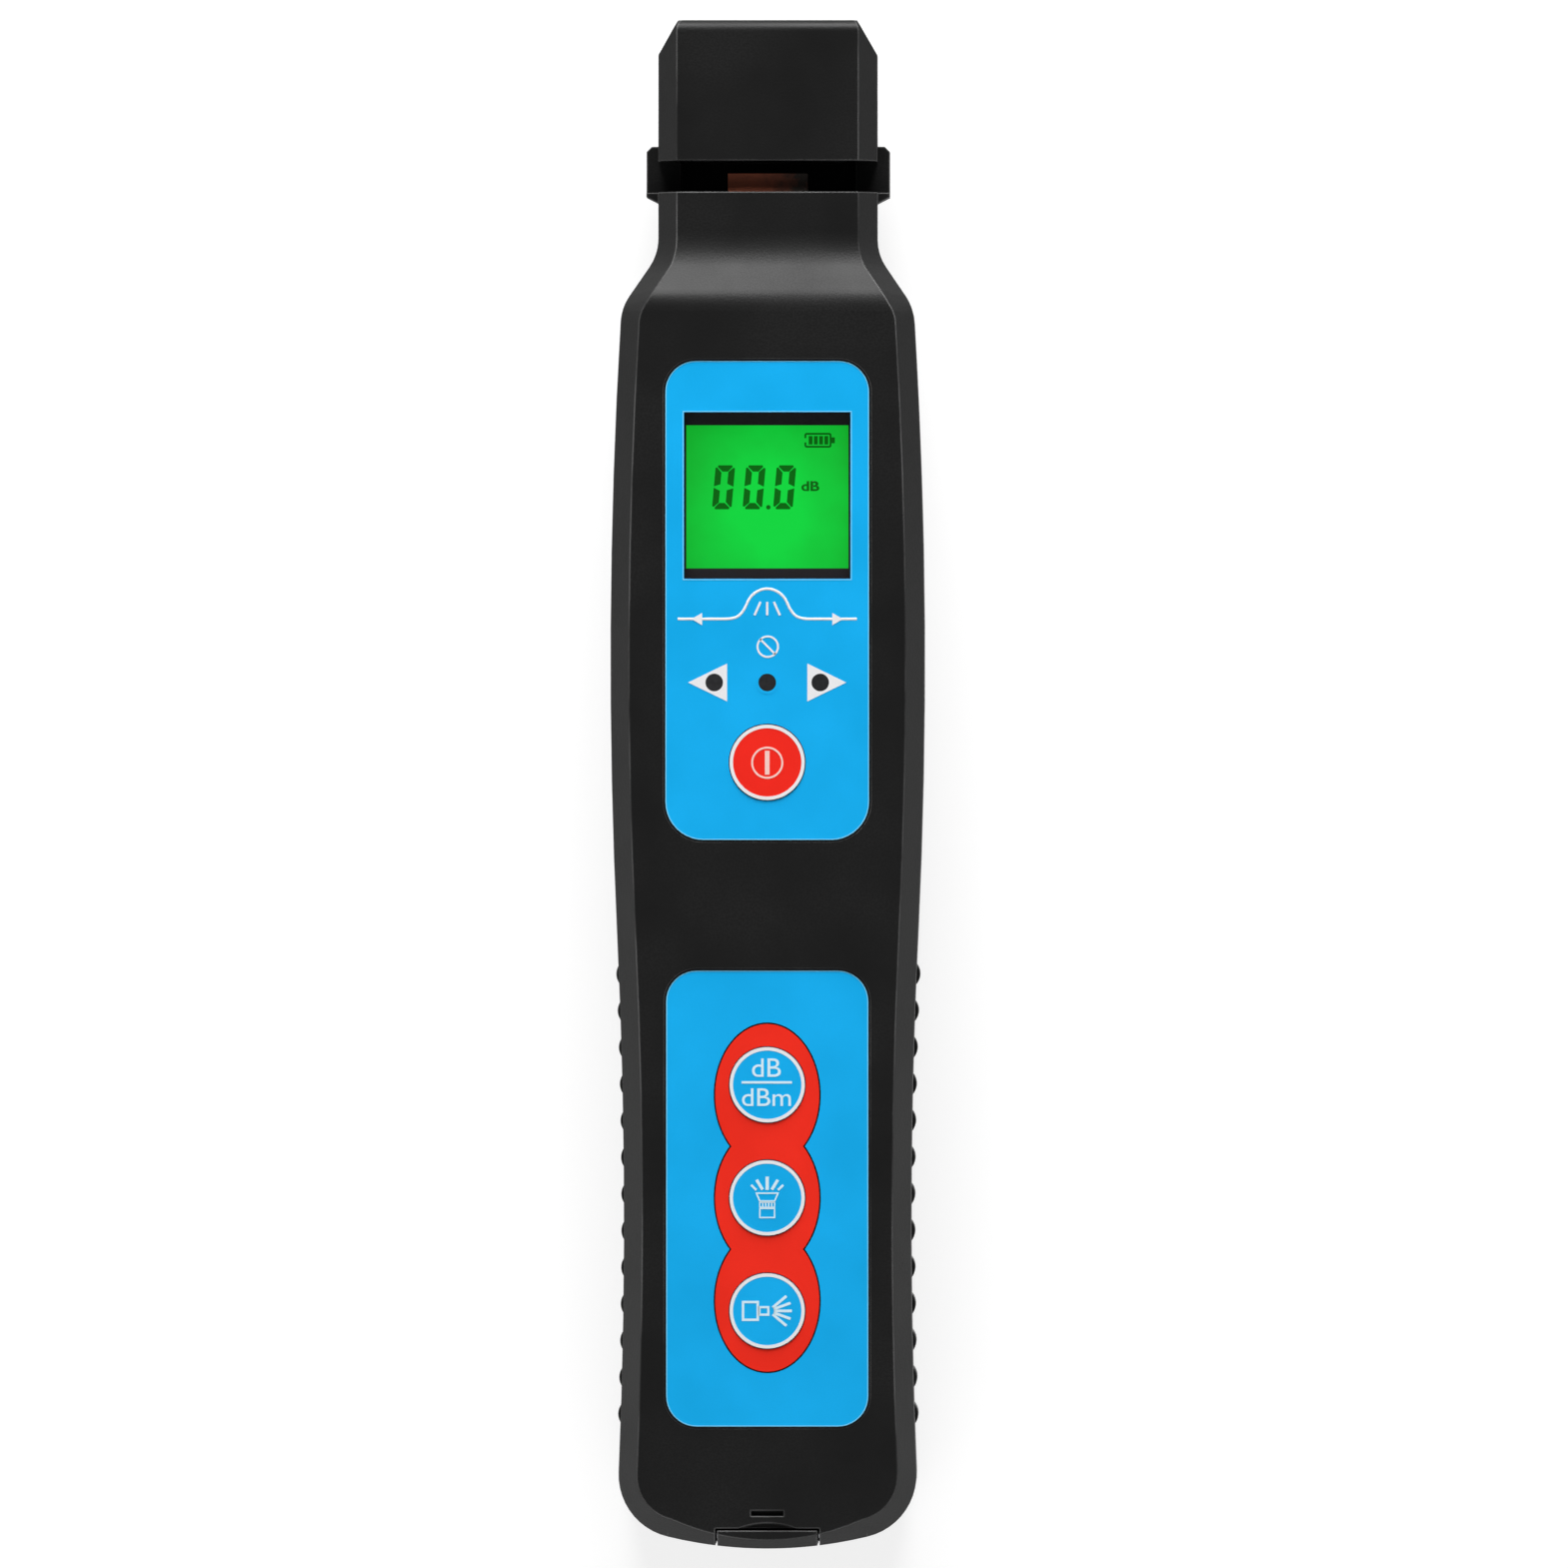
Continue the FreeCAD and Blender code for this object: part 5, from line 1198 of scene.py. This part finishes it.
    def build_signs(self) -> None:
        """Make the battery sign and the unit beside the reading."""
        (middle, level), size, line = self.charge
        corners = metres(self.nip, self.nip)
        outline = BENCH.panel("charge_outline", at(middle, level, GLASS_TOP), metres(*size), corners)
        BENCH.breach(BENCH.hollow(outline, line * MM), self.charge_gap * MM)
        marks = [outline]
        for index, across in enumerate(self.charge_bars):
            spot = at(across, level, GLASS_TOP)
            marks.append(BENCH.panel(f"charge_bar{index}", spot, metres(*self.charge_bar)))
        spot = at(self.charge_nub, level, GLASS_TOP)
        marks.append(BENCH.panel("charge_nub", spot, metres(*self.nub)))
        sign = BENCH.thicken(BENCH.join("charge_sign", marks))
        BENCH.settle(sign, Body.HOUSING, LCD_MARK, "display")
        spot = at(*self.unit, GLASS_TOP)
        unit = BENCH.words("reading_unit", "dB", spot, metres(*self.unit_size), self.unit_weight)
        BENCH.settle(BENCH.thicken(unit), Body.HOUSING, LCD_MARK, "display")

    def build_border(self) -> None:
        """Make the border of painted shade round the lit field, where the frame and the window's walls lie
        in shade, and the painted highlight along the window's film edge.
        """
        for name, across, along in self.borders:
            size = metres(across[1] - across[0], along[1] - along[0])
            strip = BENCH.panel(name, at(sum(across) / 2, sum(along) / 2, GLASS_TOP), size)
            BENCH.settle(BENCH.thicken(strip, self.border_shade_thickness), Body.HOUSING, BORDER_SHADE, "holder")
        left, right, foot, head = self.window
        middle = at((left + right) / 2, (foot + head) / 2, FILM_TOP)
        size = metres(right - left + 2 * self.lip, head - foot + 2 * self.lip)
        rim = BENCH.hollow(BENCH.panel("window_edge_highlight", middle, size), self.line * MM)
        BENCH.settle(BENCH.thicken(rim), Body.HOUSING, EDGE_HIGHLIGHT, "panel")

    def finish(self) -> None:
        """Dress the display's solids."""
        dress(LCD_GLASS, "lcd_module")
        dress(WINDOW, "display_window")
        dress(LIGHT_PLATE, "backlight")
        dress(TRIM, "lcd_frame")


@dataclass
class IndicatorRow:
    """Three lamps with their direction arrows and the signs above them; sizes in millimetres."""

    middle: float = 13.6
    opening: float = 1.18
    rim: float = 0.4
    lamp_across: float = 7.1
    arrow_across: float = 7.12
    arrow_radius: float = 3.46
    arrow_scale: Place = (5.08 / 5.99, 5.23 / 5.19, 1.0)
    drill: float = 0.4
    idle: Outline = ((0.07, 18.4), (3.0, 3.0), 0.26)
    idle_slash: Stroke = ((-0.95, 19.42), (1.09, 17.38), 0.26)
    fibre_side: tuple[Point, ...] = ((12.0, 22.1), (7.0, 22.1), (4.4, 22.1), (3.2, 23.0), (2.2, 25.4))
    fibre_crest: Point = (0.0, 26.4)
    fibre_line: float = 0.36
    fibre_print: float = 0.05
    head: Point = (9.2, 22.1)
    head_radius: float = 0.95
    rays: tuple[Stroke, ...] = (
        ((-0.9, 24.4), (-1.71, 22.6), 0.3),
        ((0.0, 24.4), (0.0, 22.6), 0.3),
        ((0.9, 24.4), (1.71, 22.6), 0.3),
    )

    def build_rim(self) -> None:
        """Make the blue print that covers the rim of the middle lamp."""
        rim = BENCH.disc("centre_rim", at(0.0, self.middle, FILM_TOP), (self.opening + self.rim) * MM)
        BENCH.settle(BENCH.thicken(BENCH.hollow(rim, self.rim * MM)), Body.HOUSING, BLUE_FILM, "panel")

    def build_arrows(self) -> None:
        """Make the two arrows, each round its lamp."""
        for name, side in (("left_arrow", -1), ("right_arrow", 1)):
            spot = at(side * self.arrow_across, self.middle, FILM_TOP)
            arrow = BENCH.disc(name, spot, self.arrow_radius * MM, 3)
            arrow.rotation_euler.z = math.radians(-90 * side)
            arrow.scale = self.arrow_scale
            BENCH.pick(arrow)
            bpy.ops.object.transform_apply(location=False, rotation=False, scale=True)
            spot = at(side * self.lamp_across, self.middle, FILM_TOP - self.drill / 2)
            drill = BENCH.disc(f"{name}_drill", spot, self.opening * MM)
            BENCH.cut(BENCH.thicken(arrow), BENCH.thicken(drill, self.drill))
            BENCH.settle(arrow, Body.HOUSING, WHITE_INK, "panel")

    def build_signs(self) -> None:
        """Make the sign over the middle lamp and the bent fibre under the window."""
        middle, size, line = self.idle
        ring = BENCH.disc("idle_ring", at(*middle, FILM_TOP), size[0] / 2 * MM)
        BENCH.hollow(ring, line * MM)
        slash = BENCH.bar("idle_slash", *self.idle_slash, FILM_TOP)
        idle = BENCH.thicken(BENCH.join("idle_sign", [ring, slash]))
        BENCH.settle(idle, Body.HOUSING, WHITE_INK, "panel")
        left = [(-across, along) for across, along in self.fibre_side]
        points = [*left, self.fibre_crest, *reversed(self.fibre_side)]
        parts = [BENCH.fix(BENCH.wire("fibre_line", points, self.fibre_line, FILM_TOP))]
        across, along = self.head
        for index, side in enumerate((-1, 1)):
            spot = at(side * across, along, FILM_TOP)
            head = BENCH.disc(f"fibre_head{index}", spot, self.head_radius * MM, 3)
            head.rotation_euler.z = math.radians(-90 * side)
            parts.append(BENCH.thicken(head, self.fibre_print))
        for index, ray in enumerate(self.rays):
            line = BENCH.bar(f"fibre_ray{index}", *ray, FILM_TOP)
            parts.append(BENCH.thicken(line, self.fibre_print))
        BENCH.settle(BENCH.join("fibre_sign", parts), Body.HOUSING, WHITE_INK, "panel")

    def finish(self) -> None:
        """Dress the lamps."""
        dress(SMOKED, "left_lamp", "centre_lamp", "right_lamp")


@dataclass
class RoundKey:
    """Round key with a white ring and a printed sign; sizes in millimetres from its middle."""

    node: str
    body: Body
    sign: KeySign
    middle: float
    film: Finish
    slot: str
    ring: float = 5.04
    ring_line: float = 0.46
    power_ring: Outline = ((0.0, -0.05), (4.3, 4.3), 0.26)
    power_bar: Stroke = ((0.0, -1.65), (0.0, 1.55), 0.62)
    unit_upper: tuple[Point, Point] = ((-0.1, 2.3), (3.86, 2.46))
    unit_lower: tuple[Point, Point] = ((-0.1, -1.66), (6.55, 2.36))
    unit_rule: Stroke = ((-3.42, 0.32), (3.32, 0.32), 0.32)
    torch_rays: tuple[Stroke, ...] = (
        ((0.0, 1.05), (0.0, 2.85), 0.44),
        ((-0.62, 1.1), (-1.42, 2.42), 0.4),
        ((0.62, 1.1), (1.42, 2.42), 0.4),
        ((-1.45, 1.05), (-2.15, 1.72), 0.3),
        ((1.45, 1.05), (2.15, 1.72), 0.3),
    )
    torch_cup: Outline = ((0.0, 0.1), (3.2, 1.25), 0.2)
    torch_taper: Place = (0.66, 1.0, 1.0)
    torch_collar: Outline = ((0.0, -0.92), (2.15, 0.85), 0.16)
    torch_grip: Outline = ((0.0, -2.03), (2.15, 1.4), 0.18)
    torch_ribs: tuple[Stroke, ...] = (
        ((-0.6, -1.2), (-0.6, -0.64), 0.17),
        ((-0.2, -1.2), (-0.2, -0.64), 0.17),
        ((0.2, -1.2), (0.2, -0.64), 0.17),
        ((0.6, -1.2), (0.6, -0.64), 0.17),
    )
    beam_plug: Outline = ((-2.25, 0.0), (2.3, 2.7), 0.32)
    beam_nose: Outline = ((-0.45, 0.0), (1.5, 1.3), 0.3)
    beam_fan: tuple[float, ...] = (-40.0, -20.0, 0.0, 20.0, 40.0)
    beam_start: float = 0.2
    beam_reach: Pair = (0.7, 3.1)
    beam_line: float = 0.36

    def spot(self, across: float, along: float) -> Place:
        """Give a place on the key's face."""
        return at(across, self.middle + along, KEY_TOP)

    def bar(self, name: str, start: Sequence[float], end: Sequence[float], width: float) -> Object:
        """Make a bar on the key's face between two points."""
        first, last = (start[0], self.middle + start[1]), (end[0], self.middle + end[1])
        return BENCH.bar(f"{self.node}_{name}", first, last, width, KEY_TOP)

    def box(self, name: str, centre: Sequence[float], size: Sequence[float], line: float) -> Object:
        """Make a box outline on the key's face."""
        flat = BENCH.panel(f"{self.node}_{name}", self.spot(*centre), metres(*size))
        return BENCH.hollow(flat, line * MM)

    def power_parts(self) -> list[Object]:
        """Make a circle with an upright bar.

        Returns:
            The flat parts of the sign.
        """
        middle, size, line = self.power_ring
        ring = BENCH.disc("power_ring", self.spot(*middle), size[0] / 2 * MM, 72)
        return [BENCH.hollow(ring, line * MM), self.bar("stroke", *self.power_bar)]

    def unit_parts(self) -> list[Object]:
        """Make the two units that the key switches between.

        Returns:
            The flat parts of the sign.
        """
        middle, size = self.unit_upper
        upper = BENCH.words("unit_upper", "dB", self.spot(*middle), metres(*size))
        middle, size = self.unit_lower
        lower = BENCH.words("unit_lower", "dBm", self.spot(*middle), metres(*size))
        return [upper, self.bar("rule", *self.unit_rule), lower]

    def torch_parts(self) -> list[Object]:
        """Make a torch with five rays.

        Returns:
            The flat parts of the sign.
        """
        parts = [self.bar(f"ray{index}", *ray) for index, ray in enumerate(self.torch_rays)]
        middle, size, line = self.torch_cup
        cup = BENCH.panel("torch_cup", self.spot(*middle), metres(*size))
        BENCH.taper(cup, (0.0, -1.0, 0.0), self.torch_taper)
        parts.append(BENCH.hollow(cup, line * MM))
        parts.append(self.box("collar", *self.torch_collar))
        parts.append(self.box("grip", *self.torch_grip))
        parts += [self.bar(f"rib{index}", *rib) for index, rib in enumerate(self.torch_ribs)]
        return parts

    def beam_parts(self) -> list[Object]:
        """Make a ferrule that sends out a fan of light.

        Returns:
            The flat parts of the sign.
        """
        parts = [self.box("plug", *self.beam_plug), self.box("nose", *self.beam_nose)]
        for index, degrees in enumerate(self.beam_fan):
            rise, run = math.sin(math.radians(degrees)), math.cos(math.radians(degrees))
            start, end = ((self.beam_start + reach * run, reach * rise) for reach in self.beam_reach)
            parts.append(self.bar(f"ray{index}", start, end, self.beam_line))
        return parts

    def build(self) -> None:
        """Make the ring and the sign on the key's face."""
        ring = BENCH.disc(f"{self.node}_ring", self.spot(0.0, 0.0), self.ring * MM, 128)
        BENCH.thicken(BENCH.hollow(ring, self.ring_line * MM))
        BENCH.settle(ring, self.body, WHITE_INK, self.slot)
        makers = {KeySign.POWER: self.power_parts, KeySign.UNIT: self.unit_parts,
                  KeySign.TORCH: self.torch_parts, KeySign.BEAM: self.beam_parts}
        parts = [BENCH.fix(part) for part in makers[self.sign]()]
        mark = BENCH.thicken(BENCH.join(f"{self.node}_sign", parts))
        BENCH.settle(mark, self.body, ROSE_INK if self.sign is KeySign.POWER else PALE_INK, self.slot)

    def finish(self) -> None:
        """Dress the key's cap."""
        dress(self.film, self.node)


@dataclass
class FibreClamp:
    """Trigger, slider, pad, spring and optics around the fibre slot; sizes in millimetres.

    The coil is measured to the middle of the wire; coil and wire are radii.
    """

    coil: float = 2.1
    wire: float = 0.3
    turns: int = 8
    sides: int = 14
    steps: int = 36
    ends: Pair = (30.75, 47.55)
    height: float = 11.6
    travel: float = 4.0

    def build_spring(self) -> None:
        """Wind the return spring, which shortens as the trigger slides."""
        foot, top = self.ends
        BENCH.clear()
        bpy.ops.mesh.primitive_circle_add(vertices=self.sides, radius=self.wire * MM)
        spring = BENCH.named("return_coil")
        BENCH.edit(spring)
        bpy.ops.transform.translate(value=at(self.coil, self.wire, 0.0))
        BENCH.pick(spring)
        bpy.ops.object.modifier_add(type="SCREW")
        screw = spring.modifiers[-1]
        screw.axis = "Y"
        screw.iterations = self.turns
        screw.screw_offset = (top - foot - 2 * self.wire) / self.turns * MM
        screw.steps = self.steps
        screw.render_steps = self.steps
        bpy.ops.object.modifier_apply(modifier=screw.name)
        BENCH.edit(spring)
        bpy.ops.mesh.fill_holes(sides=self.sides)
        bpy.ops.mesh.select_all(action="SELECT")
        bpy.ops.mesh.normals_make_consistent(inside=False)
        BENCH.pick(spring)
        bpy.ops.object.shade_smooth()
        seat = at(0.0, foot, self.height)
        spring.location = seat
        BENCH.settle(spring, Body.HOUSING, SPRING, "spring_steel")
        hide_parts("return_spring")
        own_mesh(spring)

    def finish(self) -> None:
        """Dress the clamp and the optics."""
        dress(TRIM, "trigger")
        dress(SLIDE, "clamp_slider")
        dress(AMBER, "fibre_adapter")
        dress(OPTIC, "optical_block")
        dress(NICKEL, "left_detector", "right_detector")
        dress(STEEL, "trigger_screw")
        dress(LENS, "torch_led")


@dataclass
class Inside:
    """Board, battery and laser inside the case."""

    board: str = "main_board"
    plastics: tuple[str, ...] = ("tact_switches", "battery_snap")
    screws: str = "board_screws"
    battery: str = "battery"
    laser: str = "laser_module"
    port: str = "laser_port"

    def finish(self) -> None:
        """Dress what shows when the flap or the door is open."""
        dress(BOARD, self.board)
        dress(TRIM, *self.plastics)
        dress(STEEL, self.screws)
        dress(CAN, self.battery)
        dress(BRASS, self.laser)
        dress(NICKEL, self.port)


@dataclass(frozen=True)
class Softbox:
    """Square soft light that faces the tester: its place, its side and its power in watts."""

    name: str
    place: Place
    side: float
    power: float

    def build(self) -> None:
        """Add the light."""
        BENCH.clear()
        bpy.ops.object.light_add(type="AREA", location=self.place)
        lamp = BENCH.named(self.name)
        lamp.data.size = self.side
        lamp.data.energy = self.power
        lamp.rotation_mode = "QUATERNION"
        lamp.rotation_quaternion = (-Vector(self.place)).to_track_quat("-Z", "Y")
        lamp.visible_camera = False


@dataclass
class Studio:
    """Pale floor, soft light and the camera.

    One pixel is the side of a picture point on the tester, and swing is the camera's turn
    to the right in degrees.
    """

    pixel: float = 0.1339 * MM
    frame_side: int = 1569
    distance: float = 4.0
    swing: float = 0.5
    target: Place = at(2.25, 0.0, CASE_TOP)
    sensor: float = 36.0
    clip: Pair = (0.01, 20.0)
    floor_size: float = 8.0
    floor_drop: float = 0.05 * MM
    floor_tone: Colour = (0.4, 0.4, 0.4, 1.0)
    floor_light: float = 0.72
    flag_span: Pair = (-60 * MM, 85 * MM)
    flag_light: float = 0.1
    glow: float = 0.25
    overhead: float = 0.08
    fade: Pair = (0.1, 0.6)
    lights: tuple[Softbox, ...] = (
        Softbox("key_light", (-0.1, -0.6, 0.65), side=0.8, power=2.6),
        Softbox("head_light", (0.0, 1.0, 0.4), side=0.7, power=23.5),
        Softbox("right_light", (0.8, -0.5, 0.25), side=0.9, power=1.2),
        Softbox("left_light", (-0.8, -0.55, 0.25), side=0.9, power=0.9),
        Softbox("low_light", (0.1, -0.2, -0.9), side=0.6, power=6.0),
    )

    def build_floor(self) -> None:
        """Make the white floor, open to views and light from below.

        Its mirror image dims towards the head, as beside a dark flag.
        """
        BENCH.clear()
        bpy.ops.mesh.primitive_plane_add(size=self.floor_size, location=(0.0, 0.0, -self.floor_drop))
        floor = BENCH.named("floor")
        graph = Graph("white floor")
        graph.skin(Base_Color=self.floor_tone, Roughness=0.9, Specular_IOR_Level=0.1)
        path = graph.add("ShaderNodeLightPath")
        flag = graph.fit(graph.axis("Y"), *self.flag_span, 1.0, self.flag_light)
        mirrored = graph.work("MULTIPLY", path.outputs["Is Glossy Ray"], flag)
        seen = graph.work("MAXIMUM", path.outputs["Is Camera Ray"], mirrored)
        seen = graph.work("MAXIMUM", seen, path.outputs["Is Transmission Ray"])
        graph.skin(Emission_Color=WHITE, Emission_Strength=graph.work("MULTIPLY", seen, self.floor_light))
        side = graph.add("ShaderNodeNewGeometry").outputs["Backfacing"]
        gone = graph.work("MAXIMUM", side, path.outputs["Is Shadow Ray"])
        mix = graph.add("ShaderNodeMixShader")
        graph.feed(mix, 0, gone)
        graph.feed(mix, 1, graph.shader.outputs[0])
        graph.feed(mix, 2, graph.add("ShaderNodeBsdfTransparent").outputs[0])
        graph.feed(graph.tree.nodes["Material Output"], "Surface", mix.outputs[0])
        floor.data.materials.append(graph.material)

    def build_world(self) -> None:
        """Make a studio sky, dim overhead and white low down to the eye and in mirror images."""
        world = bpy.data.worlds.new("studio")
        bpy.context.scene.world = world
        world.use_nodes = True
        sky = Wiring(world.node_tree, "Generated")
        path = sky.add("ShaderNodeLightPath")
        mirrored = sky.work("MAXIMUM", path.outputs["Is Glossy Ray"], path.outputs["Is Transmission Ray"])
        low = sky.fit(mirrored, 0.0, 1.0, self.glow, 1.0)
        light = sky.fit(sky.axis("Z"), *self.fade, low, self.overhead)
        back = sky.tree.nodes["Background"]
        sky.feed(back, "Strength", sky.work("MAXIMUM", path.outputs["Is Camera Ray"], light))
        sky.feed(back, "Color", WHITE)

    def build_camera(self) -> None:
        """Look straight down on the panel, from slightly to the right."""
        angle = math.radians(self.swing)
        BENCH.clear()
        way = Vector((math.sin(angle), 0.0, math.cos(angle)))
        place = Vector(self.target) + way * self.distance
        bpy.ops.object.camera_add(location=place, rotation=(0.0, angle, 0.0))
        camera = BENCH.named("camera")
        camera.data.sensor_width = self.sensor
        camera.data.lens = self.sensor * self.distance / (self.frame_side * self.pixel)
        camera.data.clip_start, camera.data.clip_end = self.clip
        bpy.context.scene.camera = camera

    def build(self) -> None:
        """Build the stage."""
        self.build_camera()
        self.build_floor()
        self.build_world()
        for light in self.lights:
            light.build()
        bpy.context.scene.view_settings.view_transform = "Standard"


def main() -> None:
    """Build and dress every sub-assembly in order."""
    logging.basicConfig(level=logging.INFO, format="%(message)s")
    Studio().build()
    Case().finish()
    for sheet in (Overlay("upper_overlay", width=27.3, span=(-7.5, 56.7), corners=(4.1, 5.1)),
                  Overlay("lower_overlay", width=27.1, span=(-86.1, -25.0), corners=(4.1, 4.1))):
        sheet.build_edge()
        sheet.finish()
    dress(RED_FILM, "key_surround")
    display = Display()
    display.build_digits()
    display.build_signs()
    display.build_border()
    display.finish()
    lamps = IndicatorRow()
    lamps.build_arrows()
    lamps.build_rim()
    lamps.build_signs()
    lamps.finish()
    for key in (RoundKey("power_key", Body.POWER, KeySign.POWER, 2.9, RED_KEY, "key_red"),
                RoundKey("unit_key", Body.UNIT, KeySign.UNIT, -40.3, BLUE_KEY, "key_blue"),
                RoundKey("torch_key", Body.TORCH, KeySign.TORCH, -55.45, BLUE_KEY, "key_blue"),
                RoundKey("beam_key", Body.BEAM, KeySign.BEAM, -70.6, BLUE_KEY, "key_blue")):
        key.build()
        key.finish()
    clamp = FibreClamp()
    clamp.build_spring()
    clamp.finish()
    Inside().finish()


if __name__ == "__main__":
    main()
